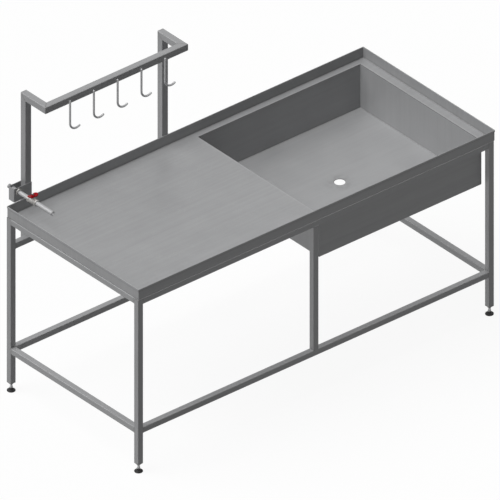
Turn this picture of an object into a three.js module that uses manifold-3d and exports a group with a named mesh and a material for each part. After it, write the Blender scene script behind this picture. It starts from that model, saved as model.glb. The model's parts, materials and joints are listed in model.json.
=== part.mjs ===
// Fish cleaning table in stainless steel, in millimetres.
// X runs along the table from its dry end to its basin end, Y from front to back, Z up from the floor.
// A folded tray with a rim and a deep basin stands on a frame of square tube with levelling feet.
// Behind the dry end stands a frame with five hooks, and one of its posts carries a cold water tap.

import * as THREE from "three";
import { mergeVertices } from "three/addons/utils/BufferGeometryUtils.js";
import Module from "manifold-3d";

const wasm = await Module();
wasm.setup();

// Table top: a tray folded from sheet, with a hem round its rim and a cut-out for the basin
const tableLength = 2100;
const tableDepth = 925;
const rimTop = 980;
const rimHeight = 58;
const sheet = 2;
const bendRadius = 3;
const hemHeight = 10;

// Basin: a deep box folded from sheet, welded under the cut-out
const basinLength = 955;
const basinDepth = 230;
const basinMarginSide = 35;
const basinMarginEnd = 46;
const drainDiameter = 52;

// Frame of square tube
const tube = 30;
const tubeWall = 2;
const tubeCorner = 3;
const legBottom = 45;
const setbackFront = 3;
const setbackEnd = 5;
const stretcherUnderside = 205;
const midRailDrop = 195;

// Hook frame behind the table
const postTube = 35;
const hookFrameLeft = 112;
const hookFrameWidth = 840;
const hookFrameTop = 1525;
const hookFrameReach = 175;

// Hooks
const hookCount = 5;
const hookRod = 10;
const hookBend = 36;
const hookDrop = 143;
const hookOverlap = 21;
const hookSweep = 130;
const hookWeldWidth = 6;

// Bracket that carries the tap
const bracketLeft = 43;
const bracketHeight = 70;
const bracketLift = 2;
const bracketPlate = 2.5;
const bracketBend = 2.5;

// Water pipe and ball valve
const pipeOuter = 21.3;
const pipeBore = 16;
const pipeAxisX = 69;
const pipeAxisLift = 50;
const inletReach = 27;
const valveForward = 100;
const spoutForward = 240;
const pipeChamfer = 1;

const valveLength = 60;
const valveSocketDepth = 13;
const valveHexFlats = 28;
const valveHexLength = 14;
const valveBarrel = 31;
const ballRadius = 11.5;
const ballBore = 14;
const ballSlotWidth = 4;
const ballSlotDepth = 3;
const seatPocketRadius = 10.6;
const seatPocketEnd = 14;
const valveBossRadius = 9;
const valveBossTop = 17;

const stemRadius = 4;
const stemSquare = 5.5;
const stemThreadRadius = 2.5;
const stemTop = 37;
const glandFlats = 17;
const glandHeight = 6;

const handleSpan = 54;
const handleWidth = 30;
const handleWaist = 23;
const handleThickness = 4;
const handleRise = 5;
const handleHubRadius = 9;
const handleHubHeight = 8;
const handleNutFlats = 8;
const handleNutHeight = 4;

const lockNutFlats = 32;
const lockNutThickness = 8;

// Levelling feet
const footShank = 12;
const footShankTop = 85;
const footNeck = 8;
const footCollar = 14;
const footCollarBottom = 4;
const footCollarHeight = 4;
const footHexFlats = 14;
const footHexBottom = 17;
const footHexHeight = 6;
const footNutFlats = 19;
const footNutThickness = 7;
const footPlugHeight = 15;
const padDiameter = 40;
const padEdge = 5;
const padHeight = 13;
const padBoss = 18;
const padChamfer = 1;

// Plugs that close the lower ends of the hook frame's posts
const plugFlange = 3;
const plugDepth = 14;

// Clearances and overruns
const weldGap = 0.3;
const fitGap = 0.3;
const overrun = 2;
const mergeTolerance = 0.0001;
const nutChamferShare = 0.12;

// Numbers of facets
const cornerSteps = 1;
const bendSteps = 4;
const roundSteps = 20;
const smallSteps = 16;
const ballSteps = 12;
const hexSteps = 12;
const rodSides = 10;
const hookArcSteps = 10;
const ballArcSteps = 4;

// Places that several pieces share
const quarter = Math.PI / 2;
const topUnderside = rimTop - rimHeight;
const workSurface = topUnderside + sheet;
const frameLeft = 0;
const frameRight = tableLength - setbackEnd;
const frameFront = setbackFront;
const frameBack = tableDepth;
const frameMiddle = (frameLeft + frameRight) / 2;
const railUnderside = topUnderside - weldGap - tube;
const stretcherTop = stretcherUnderside + tube;
const midRailTop = rimTop - midRailDrop;
const midRailUnderside = midRailTop - tube;
const rimInside = 2 * sheet;
const cutRight = tableLength - rimInside - basinMarginEnd;
const cutLeft = cutRight - basinLength;
const cutFront = rimInside + basinMarginSide;
const cutBack = tableDepth - rimInside - basinMarginSide;
const postFront = frameBack + weldGap;
const postBack = postFront + postTube;
const hookFrameRight = hookFrameLeft + hookFrameWidth;
const crossbarFront = postBack - hookFrameReach;
const crossbarUnderside = hookFrameTop - postTube;
const bracketFront = postFront - fitGap - bracketPlate;
const bracketBack = postBack + fitGap + bracketPlate;
const bracketBottom = rimTop + bracketLift;
const pipeAxisZ = rimTop + pipeAxisLift;
const inletEnd = bracketBack + inletReach;
const valveCentre = bracketFront - valveForward;
const glandBottom = valveBossTop + fitGap;
const hubBottom = glandBottom + glandHeight + fitGap;
const hubTop = hubBottom + handleHubHeight;
const handleNutBottom = hubTop + fitGap;
const footLeft = frameLeft + tube / 2;
const footRight = frameRight - tube / 2;
const footFront = frameFront + tube / 2;
const footBack = frameBack - tube / 2;
const overallLeft = Math.min(0, footLeft - padDiameter / 2);
const overallRight = Math.max(tableLength, footRight + padDiameter / 2);
const overallFront = Math.min(0, footFront - padDiameter / 2);
const overallBack = inletEnd;

const stainless = new THREE.MeshStandardMaterial({ color: 0x9fa1a3, roughness: 0.38, metalness: 0.9 });
const plated = new THREE.MeshStandardMaterial({ color: 0xb9b4a8, roughness: 0.25, metalness: 1 });
const redPaint = new THREE.MeshStandardMaterial({ color: 0xb01218, roughness: 0.4, metalness: 0 });
const blackPlastic = new THREE.MeshStandardMaterial({ color: 0x141414, roughness: 0.6, metalness: 0 });
const whiteSeat = new THREE.MeshStandardMaterial({ color: 0xe9e9e4, roughness: 0.5, metalness: 0 });

const table = new THREE.Group();

// Adds one named piece to the table or to a group of it.
function piece(name, geometry, material, parent = table) {
  const mesh = new THREE.Mesh(geometry, material);
  mesh.name = name;
  parent.add(mesh);
  return mesh;
}

// Turns a closed geometry into a solid whose faces point outwards.
function solid(geometry) {
  const bare = geometry.clone();
  bare.deleteAttribute("normal");
  bare.deleteAttribute("uv");
  const merged = mergeVertices(bare, mergeTolerance);
  const vertProperties = merged.attributes.position.array;
  const triVerts = new Uint32Array(merged.index.array);
  const made = new wasm.Manifold(new wasm.Mesh({ numProp: 3, vertProperties, triVerts }));
  if (made.volume() > 0) return made;
  const turned = triVerts.reverse();
  return new wasm.Manifold(new wasm.Mesh({ numProp: 3, vertProperties, triVerts: turned }));
}

// Turns a solid back into a geometry with flat faces.
function geometryOf(made) {
  const mesh = made.getMesh();
  const geometry = new THREE.BufferGeometry();
  geometry.setAttribute("position", new THREE.BufferAttribute(mesh.vertProperties, 3));
  geometry.setIndex(new THREE.BufferAttribute(mesh.triVerts, 1));
  const flat = geometry.toNonIndexed();
  flat.computeVertexNormals();
  return flat;
}

// A solid box between two corners.
function boxSolid(low, high) {
  const size = high.map((value, axis) => value - low[axis]);
  const centre = high.map((value, axis) => (value + low[axis]) / 2);
  const box = new THREE.BoxGeometry(...size);
  box.translate(...centre);
  return solid(box);
}

// A solid turned about the Y axis from [radius, place] points, moved to a centre.
function turnedSolid(points, steps, centre = [0, 0, 0]) {
  const outline = points.map(([radius, along]) => new THREE.Vector2(radius, along));
  const turned = new THREE.LatheGeometry(outline, steps);
  turned.translate(...centre);
  return solid(turned);
}

// The same, turned about the Z axis.
function uprightSolid(points, steps, centre = [0, 0, 0]) {
  const outline = points.map(([radius, height]) => new THREE.Vector2(radius, height));
  const turned = new THREE.LatheGeometry(outline, steps);
  turned.rotateX(quarter);
  turned.translate(...centre);
  return solid(turned);
}

// Points of an arc about a centre, from one angle to another.
function arcPoints(centreA, centreB, radius, from, to, steps) {
  return Array.from({ length: steps + 1 }, (_, i) => {
    const angle = from + ((to - from) * i) / steps;
    return [centreA + radius * Math.cos(angle), centreB + radius * Math.sin(angle)];
  });
}

// Draws a square with round corners about the origin into a shape or a path.
function roundSquare(outline, side, radius) {
  const reach = side / 2 - radius;
  outline.absarc(reach, reach, radius, 0, quarter, false);
  outline.absarc(-reach, reach, radius, quarter, 2 * quarter, false);
  outline.absarc(-reach, -reach, radius, 2 * quarter, 3 * quarter, false);
  outline.absarc(reach, -reach, radius, 3 * quarter, 4 * quarter, false);
  return outline;
}

// Square tube along Z from the origin. Each end may be mitred: its slope is [rise per X, rise per Y].
function tubeGeometry(side, length, startSlope = [0, 0], endSlope = [0, 0]) {
  const outline = roundSquare(new THREE.Shape(), side, tubeCorner);
  outline.holes.push(roundSquare(new THREE.Path(), side - 2 * tubeWall, tubeCorner - tubeWall));
  const settings = { depth: length, bevelEnabled: false, curveSegments: cornerSteps };
  const geometry = new THREE.ExtrudeGeometry(outline, settings);
  const places = geometry.attributes.position;
  for (let i = 0; i < places.count; i += 1) {
    const slope = places.getZ(i) > length / 2 ? endSlope : startSlope;
    const shift = slope[0] * places.getX(i) + slope[1] * places.getY(i);
    places.setZ(i, places.getZ(i) + shift);
  }
  geometry.computeVertexNormals();
  return geometry;
}

// Tubes between two places along X, Y or Z, each short of both ends by the weld gap.
function tubeAlongX(name, side, x0, x1, y, z) {
  const mesh = piece(name, tubeGeometry(side, x1 - x0 - 2 * weldGap), stainless);
  mesh.rotation.y = quarter;
  mesh.position.set(x0 + weldGap, y, z);
}

function tubeAlongY(name, side, y0, y1, x, z) {
  const mesh = piece(name, tubeGeometry(side, y1 - y0 - 2 * weldGap), stainless);
  mesh.rotation.x = -quarter;
  mesh.position.set(x, y0 + weldGap, z);
}

function tubeAlongZ(name, side, z0, z1, x, y) {
  const mesh = piece(name, tubeGeometry(side, z1 - z0 - weldGap), stainless);
  mesh.position.set(x, y, z0);
}

// Sweeps a closed profile of [inset, height] points round a rectangle, with mitred corners.
function sweptRim(profile, x0, x1, y0, y1) {
  const places = [];
  for (const [inset, z] of profile) {
    places.push(x0 + inset, y0 + inset, z);
    places.push(x1 - inset, y0 + inset, z);
    places.push(x1 - inset, y1 - inset, z);
    places.push(x0 + inset, y1 - inset, z);
  }
  const faces = [];
  profile.forEach((_, i) => {
    const next = (i + 1) % profile.length;
    for (let corner = 0; corner < 4; corner += 1) {
      const other = (corner + 1) % 4;
      faces.push(4 * i + corner, 4 * i + other, 4 * next + other);
      faces.push(4 * i + corner, 4 * next + other, 4 * next + corner);
    }
  });
  const geometry = new THREE.BufferGeometry();
  geometry.setAttribute("position", new THREE.Float32BufferAttribute(places, 3));
  geometry.setIndex(faces);
  return solid(geometry);
}

// Profile of a folded edge: the floor, the bend and the wall, whose outside stands at the given inset.
function foldedEdge(wallInset, floorUnderside, top) {
  const bendInset = wallInset + sheet + bendRadius;
  const bendHeight = floorUnderside + sheet + bendRadius;
  const outer = arcPoints(bendInset, bendHeight, bendRadius + sheet, 3 * quarter, 2 * quarter, bendSteps);
  const inner = arcPoints(bendInset, bendHeight, bendRadius, 2 * quarter, 3 * quarter, bendSteps);
  const floorInset = bendInset + bendRadius;
  const floorEnd = [[floorInset, floorUnderside + sheet], [floorInset, floorUnderside]];
  return { outer, top, inner, floorEnd, bendInset };
}

// The tray: its rim with the hem, its floor, and the cut-out that the basin hangs under.
function worktopGeometry() {
  const hemTop = arcPoints(sheet, rimTop - sheet, sheet, 2 * quarter, 0, bendSteps);
  const hem = [[sheet, rimTop - hemHeight], [0, rimTop - hemHeight], ...hemTop];
  const edge = foldedEdge(sheet, topUnderside, hem);
  const profile = [...edge.outer, ...edge.top, ...edge.inner, ...edge.floorEnd];
  const rim = sweptRim(profile, 0, tableLength, 0, tableDepth);
  const inset = edge.bendInset;
  const floorLow = [inset, inset, topUnderside];
  const floorHigh = [tableLength - inset, tableDepth - inset, workSurface];
  const cutLow = [cutLeft, cutFront, topUnderside - overrun];
  const cutHigh = [cutRight, cutBack, workSurface + overrun];
  return geometryOf(rim.add(boxSolid(floorLow, floorHigh)).subtract(boxSolid(cutLow, cutHigh)));
}

// The basin: a box whose inside is in line with the cut-out, with a bare drain hole in its middle.
function basinGeometry() {
  const floorTop = workSurface - basinDepth;
  const floorUnderside = floorTop - sheet;
  const brim = topUnderside - weldGap;
  const edge = foldedEdge(0, floorUnderside, [[0, brim], [sheet, brim]]);
  const profile = [...edge.outer, ...edge.top, ...edge.inner, ...edge.floorEnd];
  const [x0, x1, y0, y1] = [cutLeft - sheet, cutRight + sheet, cutFront - sheet, cutBack + sheet];
  const walls = sweptRim(profile, x0, x1, y0, y1);
  const inset = edge.bendInset;
  const floor = boxSolid([x0 + inset, y0 + inset, floorUnderside], [x1 - inset, y1 - inset, floorTop]);
  const centre = [(cutLeft + cutRight) / 2, (cutFront + cutBack) / 2, floorUnderside];
  const drain = cylinderProfile(drainDiameter / 2, -overrun, sheet + overrun);
  const hole = uprightSolid(drain, 2 * smallSteps, centre);
  return geometryOf(walls.add(floor).subtract(hole));
}

// Profile of a plain cylinder, from the axis back to the axis.
function cylinderProfile(radius, low, high) {
  return [[0, low], [radius, low], [radius, high], [0, high]];
}

// Profile of a round pipe along its own axis, with chamfered outer edges at both ends.
function pipeProfile(outer, bore, low, high, chamfer) {
  return [
    [bore, low],
    [outer - chamfer, low],
    [outer, low + chamfer],
    [outer, high - chamfer],
    [outer - chamfer, high],
    [bore, high],
    [bore, low],
  ];
}

// A hexagon prism along Z between two heights, with its corners chamfered off at both ends.
function hexSolid(flats, low, high) {
  const corner = flats / Math.sqrt(3);
  const prism = new THREE.CylinderGeometry(corner, corner, high - low, 6);
  prism.rotateX(quarter);
  prism.translate(0, 0, (low + high) / 2);
  const chamfer = nutChamferShare * flats;
  const face = corner - chamfer;
  const lower = [[0, low], [face, low], [corner, low + chamfer / 2]];
  const upper = [[corner, high - chamfer / 2], [face, high], [0, high]];
  return solid(prism).intersect(uprightSolid([...lower, ...upper], hexSteps));
}

// A hexagon nut along Z from its lower face at zero.
function nutGeometry(flats, thickness, boreRadius) {
  const bore = uprightSolid(cylinderProfile(boreRadius, -overrun, thickness + overrun), smallSteps);
  return geometryOf(hexSolid(flats, 0, thickness).subtract(bore));
}

// Legs, posts, rails and stretchers
function addFrame() {
  const half = tube / 2;
  const railMiddle = railUnderside + half;
  const stretcherMiddle = stretcherUnderside + half;
  const legX = { left: footLeft, right: footRight };
  const legY = { front: footFront, back: footBack };
  for (const [depthName, y] of Object.entries(legY)) {
    for (const [sideName, x] of Object.entries(legX)) {
      tubeAlongZ(`leg_${depthName}_${sideName}`, tube, legBottom, topUnderside, x, y);
    }
    tubeAlongX(`top_rail_${depthName}`, tube, frameLeft + tube, frameRight - tube, y, railMiddle);
    tubeAlongX(`stretcher_${depthName}`, tube, frameLeft + tube, frameRight - tube, y, stretcherMiddle);
    tubeAlongZ(`mid_post_${depthName}`, tube, stretcherTop + weldGap, railUnderside, frameMiddle, y);
  }
  const innerFront = frameFront + tube;
  const innerBack = frameBack - tube;
  for (const [sideName, x] of Object.entries(legX)) {
    tubeAlongY(`top_rail_${sideName}`, tube, innerFront, innerBack, x, railMiddle);
    tubeAlongY(`stretcher_${sideName}`, tube, innerFront, innerBack, x, stretcherMiddle);
  }
  tubeAlongY("cross_rail_middle", tube, innerFront, innerBack, frameMiddle, railMiddle);
  const stiffenerX = (frameLeft + frameMiddle) / 2;
  tubeAlongY("cross_rail_dry_end", tube, innerFront, innerBack, stiffenerX, railMiddle);
  const midRailEnd = frameMiddle - half;
  tubeAlongX("hook_frame_rail", tube, frameLeft + tube, midRailEnd, legY.back, midRailUnderside + half);
}

// Posts, arms and crossbar of the hook frame, mitred where they meet
function addHookFrame() {
  const half = postTube / 2;
  const backMitre = weldGap / 2;
  const postLength = hookFrameTop - half - midRailUnderside - backMitre;
  const armLength = hookFrameReach - postTube - 2 * backMitre;
  const barLength = hookFrameWidth - postTube - 2 * backMitre;
  const sides = { left: hookFrameLeft + half, right: hookFrameRight - half };
  for (const [sideName, x] of Object.entries(sides)) {
    const inward = sideName === "left" ? 1 : -1;
    const postShape = tubeGeometry(postTube, postLength, [0, 0], [0, 1]);
    const post = piece(`hook_post_${sideName}`, postShape, stainless);
    post.position.set(x, postFront + half, midRailUnderside);
    const armShape = tubeGeometry(postTube, armLength, [inward, 0], [0, -1]);
    const arm = piece(`hook_arm_${sideName}`, armShape, stainless);
    arm.rotation.x = -quarter;
    arm.position.set(x, crossbarFront + half + backMitre, hookFrameTop - half);
    const plug = piece(`post_plug_${sideName}`, plugGeometry(), blackPlastic);
    plug.position.set(x, postFront + half, midRailUnderside);
  }
  const bar = piece("hook_crossbar", tubeGeometry(postTube, barLength, [0, 1], [0, -1]), stainless);
  bar.rotation.y = quarter;
  bar.position.set(sides.left + backMitre, crossbarFront + half, hookFrameTop - half);
}

// A solid square block with round corners, along Z between two heights.
function squareSolid(side, radius, low, high) {
  const outline = roundSquare(new THREE.Shape(), side, radius);
  const settings = { depth: high - low, bevelEnabled: false, curveSegments: cornerSteps };
  const block = new THREE.ExtrudeGeometry(outline, settings);
  block.translate(0, 0, low);
  return solid(block);
}

// A flanged square plug that closes the tube above it.
function plugGeometry() {
  const inner = postTube - 2 * tubeWall - 2 * fitGap;
  const shank = squareSolid(inner, tubeCorner - tubeWall, -fitGap, plugDepth);
  const flange = squareSolid(postTube, tubeCorner, -fitGap - plugFlange, -fitGap);
  return geometryOf(shank.add(flange));
}

// The line of a hook: straight down its shank, then round its bend to the tip.
class HookLine extends THREE.Curve {
  constructor(shank) {
    super();
    this.shank = shank;
  }

  // The first step is the whole shank, and the others share the bend.
  getPoint(t) {
    const step = t * (hookArcSteps + 1);
    if (step <= 1) return new THREE.Vector3(0, 0, -this.shank * step);
    const turn = this.turnAt(step);
    const x = hookBend * (1 - Math.cos(turn));
    return new THREE.Vector3(x, 0, -this.shank - hookBend * Math.sin(turn));
  }

  turnAt(step) {
    const share = (step - 1) / hookArcSteps;
    return THREE.MathUtils.degToRad(hookSweep) * THREE.MathUtils.clamp(share, 0, 1);
  }

  getPointAt(t) {
    return this.getPoint(t);
  }

  getTangentAt(t) {
    const turn = this.turnAt(t * (hookArcSteps + 1));
    return new THREE.Vector3(Math.sin(turn), 0, -Math.cos(turn));
  }
}

// One hook with its top at the origin, its rod in front of the crossbar and the weld behind the rod.
function hookGeometry() {
  const radius = hookRod / 2;
  const shank = hookOverlap + hookDrop - hookBend - radius;
  const section = new THREE.Shape();
  section.absarc(0, 0, radius, 0, 4 * quarter, false);
  const extrudePath = new HookLine(shank);
  const settings = { steps: hookArcSteps + 1, curveSegments: rodSides / 2, extrudePath };
  const rod = solid(new THREE.ExtrudeGeometry(section, settings));
  const weldHalf = hookWeldWidth / 2;
  const weld = boxSolid([-weldHalf, 0, -hookOverlap + tubeCorner], [weldHalf, radius, -weldGap]);
  return geometryOf(rod.add(weld));
}

function addHooks() {
  const pitch = hookFrameWidth / (hookCount + 1);
  const y = crossbarFront - weldGap - hookRod / 2;
  for (let i = 1; i <= hookCount; i += 1) {
    const hook = piece(`hook_${i}`, hookGeometry(), stainless);
    hook.position.set(hookFrameLeft + i * pitch, y, crossbarUnderside + hookOverlap);
  }
}

// The bracket: a strip folded round the front, the end and the back of the left post.
function bracketGeometry() {
  const innerFront = bracketFront + bracketPlate;
  const innerBack = bracketBack - bracketPlate;
  const right = hookFrameLeft + postTube;
  const bendX = bracketLeft + bracketPlate + bracketBend;
  const bendFront = innerFront + bracketBend;
  const bendBack = innerBack - bracketBend;
  const outerBend = bracketBend + bracketPlate;
  const outline = new THREE.Shape();
  outline.moveTo(right, bracketBack);
  outline.absarc(bendX, bendBack, outerBend, quarter, 2 * quarter, false);
  outline.absarc(bendX, bendFront, outerBend, 2 * quarter, 3 * quarter, false);
  outline.lineTo(right, bracketFront);
  outline.lineTo(right, innerFront);
  outline.absarc(bendX, bendFront, bracketBend, 3 * quarter, 2 * quarter, true);
  outline.absarc(bendX, bendBack, bracketBend, 2 * quarter, quarter, true);
  outline.lineTo(right, innerBack);
  const settings = { depth: bracketHeight, bevelEnabled: false, curveSegments: bendSteps / 2 };
  const strip = new THREE.ExtrudeGeometry(outline, settings);
  strip.translate(0, 0, bracketBottom);
  const hole = cylinderProfile(pipeOuter / 2 + fitGap, bracketFront - overrun, bracketBack + overrun);
  return geometryOf(solid(strip).subtract(turnedSolid(hole, roundSteps, [pipeAxisX, 0, pipeAxisZ])));
}

// The valve's hollow inside: a pipe socket at each end, a seat pocket either side of the ball's chamber.
function valveHollow() {
  const half = valveLength / 2;
  const socketRadius = pipeOuter / 2 + fitGap;
  const socketEnd = half - valveSocketDepth;
  const channel = ballBore / 2;
  const chamber = ballRadius + fitGap;
  const spread = Math.acos(seatPocketRadius / chamber);
  const ballArc = arcPoints(0, 0, chamber, -spread, spread, ballArcSteps);
  const side = (end) => [
    [0, end * (half + overrun)],
    [socketRadius, end * (half + overrun)],
    [socketRadius, end * socketEnd],
    [channel, end * socketEnd],
    [channel, end * seatPocketEnd],
    [seatPocketRadius, end * seatPocketEnd],
  ];
  return turnedSolid([...side(-1), ...ballArc, ...side(1).reverse()], roundSteps);
}

// The valve body, lying along Y about the origin, with its boss for the stem upwards.
function valveBodyGeometry() {
  const half = valveLength / 2;
  const barrelHalf = half - valveHexLength;
  const barrelEnd = barrelHalf + overrun;
  const barrel = turnedSolid(cylinderProfile(valveBarrel / 2, -barrelEnd, barrelEnd), roundSteps);
  const frontHex = hexSolid(valveHexFlats, -half, -barrelHalf).rotate([-90, 0, 0]);
  const backHex = hexSolid(valveHexFlats, barrelHalf, half).rotate([-90, 0, 0]);
  const boss = uprightSolid(cylinderProfile(valveBossRadius, 0, valveBossTop), roundSteps);
  const stemHole = cylinderProfile(stemRadius + fitGap, 0, valveBossTop + overrun);
  const stemBore = uprightSolid(stemHole, smallSteps);
  const outside = barrel.add(frontHex).add(backHex).add(boss);
  return geometryOf(outside.subtract(valveHollow()).subtract(stemBore));
}

// A seat ring whose hollow face follows the ball. It lies along Y on the side that end gives.
function seatGeometry(end) {
  const chamber = ballRadius + fitGap;
  const outer = seatPocketRadius - fitGap;
  const inner = ballBore / 2;
  const back = seatPocketEnd - fitGap;
  const outerAngle = Math.acos(outer / chamber);
  const innerAngle = Math.acos(inner / chamber);
  const ballFace = arcPoints(0, 0, chamber, outerAngle, innerAngle, ballArcSteps);
  const profile = [[inner, back], [outer, back], ...ballFace, [inner, back]];
  return geometryOf(turnedSolid(profile.map(([radius, along]) => [radius, end * along]), roundSteps));
}

// The ball, closed: its bore lies across the pipe, and its slot for the stem is on top.
function ballGeometry() {
  const ball = solid(new THREE.SphereGeometry(ballRadius, roundSteps, ballSteps));
  const boreEnd = ballRadius + overrun;
  const bore = turnedSolid(cylinderProfile(ballBore / 2, -boreEnd, boreEnd), roundSteps);
  const slotHalf = ballSlotWidth / 2;
  const slotLow = [-slotHalf, -ballRadius, ballRadius - ballSlotDepth];
  const slotHigh = [slotHalf, ballRadius, ballRadius + overrun];
  return geometryOf(ball.subtract(bore.rotate([0, 0, 90])).subtract(boxSolid(slotLow, slotHigh)));
}

// The stem: a tang in the ball's slot, a round shaft, a square for the handle and a threaded top.
function stemGeometry() {
  const tangHalf = ballSlotWidth / 2 - fitGap;
  const tangBottom = ballRadius - ballSlotDepth + fitGap;
  const shaftBottom = ballRadius + fitGap;
  const tangLength = Math.sqrt(stemRadius ** 2 - tangHalf ** 2);
  const tangTop = shaftBottom + overrun;
  const tang = boxSolid([-tangHalf, -tangLength, tangBottom], [tangHalf, tangLength, tangTop]);
  const shaft = uprightSolid(cylinderProfile(stemRadius, shaftBottom, hubBottom), smallSteps);
  const squareHalf = stemSquare / 2;
  const squareLow = [-squareHalf, -squareHalf, hubBottom - overrun];
  const square = boxSolid(squareLow, [squareHalf, squareHalf, hubTop]);
  const thread = uprightSolid(cylinderProfile(stemThreadRadius, hubTop - overrun, stemTop), smallSteps);
  return geometryOf(tang.add(shaft).add(square).add(thread));
}

// The butterfly handle: a gull-wing strip with round tips on a hub, across the pipe when closed.
function handleGeometry() {
  const span = handleSpan / 2;
  const hub = handleHubRadius;
  const thick = handleThickness;
  const sideView = new THREE.Shape();
  sideView.moveTo(-hub, 0);
  sideView.lineTo(hub, 0);
  sideView.lineTo(span, handleRise);
  sideView.lineTo(span, handleRise + thick);
  sideView.lineTo(hub, thick);
  sideView.lineTo(-hub, thick);
  sideView.lineTo(-span, handleRise + thick);
  sideView.lineTo(-span, handleRise);
  const strip = new THREE.ExtrudeGeometry(sideView, { depth: handleWidth, bevelEnabled: false });
  strip.rotateX(quarter);
  strip.translate(0, handleWidth / 2, hubBottom);
  const tip = handleWidth / 2;
  const waistPull = handleWaist - tip;
  const planView = new THREE.Shape();
  planView.absarc(span - tip, 0, tip, -quarter, quarter, false);
  planView.quadraticCurveTo(0, waistPull, tip - span, tip);
  planView.absarc(tip - span, 0, tip, quarter, 3 * quarter, false);
  planView.quadraticCurveTo(0, -waistPull, span - tip, -tip);
  const tall = handleRise + thick + 2 * overrun;
  const settings = { depth: tall, bevelEnabled: false, curveSegments: bendSteps };
  const plan = new THREE.ExtrudeGeometry(planView, settings);
  plan.translate(0, 0, hubBottom - overrun);
  const boss = uprightSolid(cylinderProfile(hub, hubBottom, hubTop), roundSteps);
  const squareHalf = stemSquare / 2 + fitGap;
  const eyeLow = [-squareHalf, -squareHalf, hubBottom - overrun];
  const eyeHigh = [squareHalf, squareHalf, hubTop + overrun];
  const wings = solid(strip).intersect(solid(plan));
  return geometryOf(wings.add(boss).subtract(boxSolid(eyeLow, eyeHigh)));
}

// Bracket, inlet pipe, valve and spout
function addTap() {
  piece("tap_bracket", bracketGeometry(), stainless);
  const pipes = new THREE.Group();
  pipes.position.set(pipeAxisX, 0, pipeAxisZ);
  table.add(pipes);
  const outer = pipeOuter / 2;
  const bore = pipeBore / 2;
  const socketFloor = valveLength / 2 - valveSocketDepth + fitGap;
  const inletProfile = pipeProfile(outer, bore, valveCentre + socketFloor, inletEnd, pipeChamfer);
  piece("inlet_pipe", geometryOf(turnedSolid(inletProfile, roundSteps)), stainless, pipes);
  const spoutEnd = bracketFront - spoutForward;
  const spoutProfile = pipeProfile(outer, bore, spoutEnd, valveCentre - socketFloor, pipeChamfer);
  piece("spout_pipe", geometryOf(turnedSolid(spoutProfile, roundSteps)), stainless, pipes);
  const nutPlaces = { front: bracketFront - fitGap - lockNutThickness, back: bracketBack + fitGap };
  for (const [side, y] of Object.entries(nutPlaces)) {
    const nutShape = nutGeometry(lockNutFlats, lockNutThickness, outer + fitGap);
    const nut = piece(`pipe_lock_nut_${side}`, nutShape, plated, pipes);
    nut.rotation.x = -quarter;
    nut.position.y = y;
  }
  const valve = new THREE.Group();
  valve.position.y = valveCentre;
  pipes.add(valve);
  piece("valve_body", valveBodyGeometry(), plated, valve);
  piece("valve_seat_front", seatGeometry(-1), whiteSeat, valve);
  piece("valve_seat_back", seatGeometry(1), whiteSeat, valve);
  piece("valve_ball", ballGeometry(), stainless, valve);
  piece("valve_stem", stemGeometry(), stainless, valve);
  const gland = piece("gland_nut", nutGeometry(glandFlats, glandHeight, stemRadius + fitGap), plated, valve);
  gland.position.z = glandBottom;
  piece("valve_handle", handleGeometry(), redPaint, valve);
  const handleNutBore = stemThreadRadius + fitGap;
  const handleNutShape = nutGeometry(handleNutFlats, handleNutHeight, handleNutBore);
  const handleNut = piece("handle_nut", handleNutShape, stainless, valve);
  handleNut.position.z = handleNutBottom;
}

// The round pad, with an undercut pocket in which the shank's collar turns.
function padGeometry() {
  const radius = padDiameter / 2;
  const mouth = footNeck / 2 + fitGap;
  const pocket = footCollar / 2 + fitGap;
  const pocketFloor = footCollarBottom - fitGap;
  const pocketTop = footCollarBottom + footCollarHeight + fitGap;
  const profile = [
    [0, 0],
    [radius - padChamfer, 0],
    [radius, padChamfer],
    [radius, padEdge],
    [padBoss / 2, padHeight - padChamfer],
    [padBoss / 2 - padChamfer, padHeight],
    [mouth, padHeight],
    [mouth, pocketTop],
    [pocket, pocketTop],
    [pocket, pocketFloor],
    [0, pocketFloor],
  ];
  return geometryOf(uprightSolid(profile, roundSteps));
}

// The shank: a collar in the pad, a neck, a hexagon for the wrench and a threaded rod with a chamfered top.
function shankGeometry() {
  const collar = footCollar / 2;
  const collarTop = footCollarBottom + footCollarHeight;
  const neck = footNeck / 2;
  const shank = footShank / 2;
  const profile = [
    [0, footCollarBottom],
    [collar, footCollarBottom],
    [collar, collarTop],
    [neck, collarTop],
    [neck, footHexBottom],
    [shank, footHexBottom],
    [shank, footShankTop - padChamfer],
    [shank - padChamfer, footShankTop],
    [0, footShankTop],
  ];
  const hexagon = hexSolid(footHexFlats, footHexBottom, footHexBottom + footHexHeight);
  return geometryOf(uprightSolid(profile, smallSteps).add(hexagon));
}

// The threaded plug that is welded into the lower end of a leg.
function legPlugGeometry() {
  const side = tube - 2 * tubeWall - 2 * weldGap;
  const block = squareSolid(side, tubeCorner - tubeWall, 0, footPlugHeight);
  const bore = cylinderProfile(footShank / 2 + fitGap, -overrun, footPlugHeight + overrun);
  return geometryOf(block.subtract(uprightSolid(bore, smallSteps)));
}

function addFeet() {
  const places = {
    front_left: [footLeft, footFront],
    front_right: [footRight, footFront],
    back_left: [footLeft, footBack],
    back_right: [footRight, footBack],
  };
  for (const [name, [x, y]] of Object.entries(places)) {
    const foot = new THREE.Group();
    foot.position.set(x, y, 0);
    table.add(foot);
    piece(`foot_pad_${name}`, padGeometry(), blackPlastic, foot);
    piece(`foot_shank_${name}`, shankGeometry(), stainless, foot);
    const nutShape = nutGeometry(footNutFlats, footNutThickness, footShank / 2 + fitGap);
    const nut = piece(`foot_lock_nut_${name}`, nutShape, stainless, foot);
    nut.position.z = legBottom - fitGap - footNutThickness;
    const plug = piece(`leg_plug_${name}`, legPlugGeometry(), stainless, foot);
    plug.position.z = legBottom;
  }
}

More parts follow.
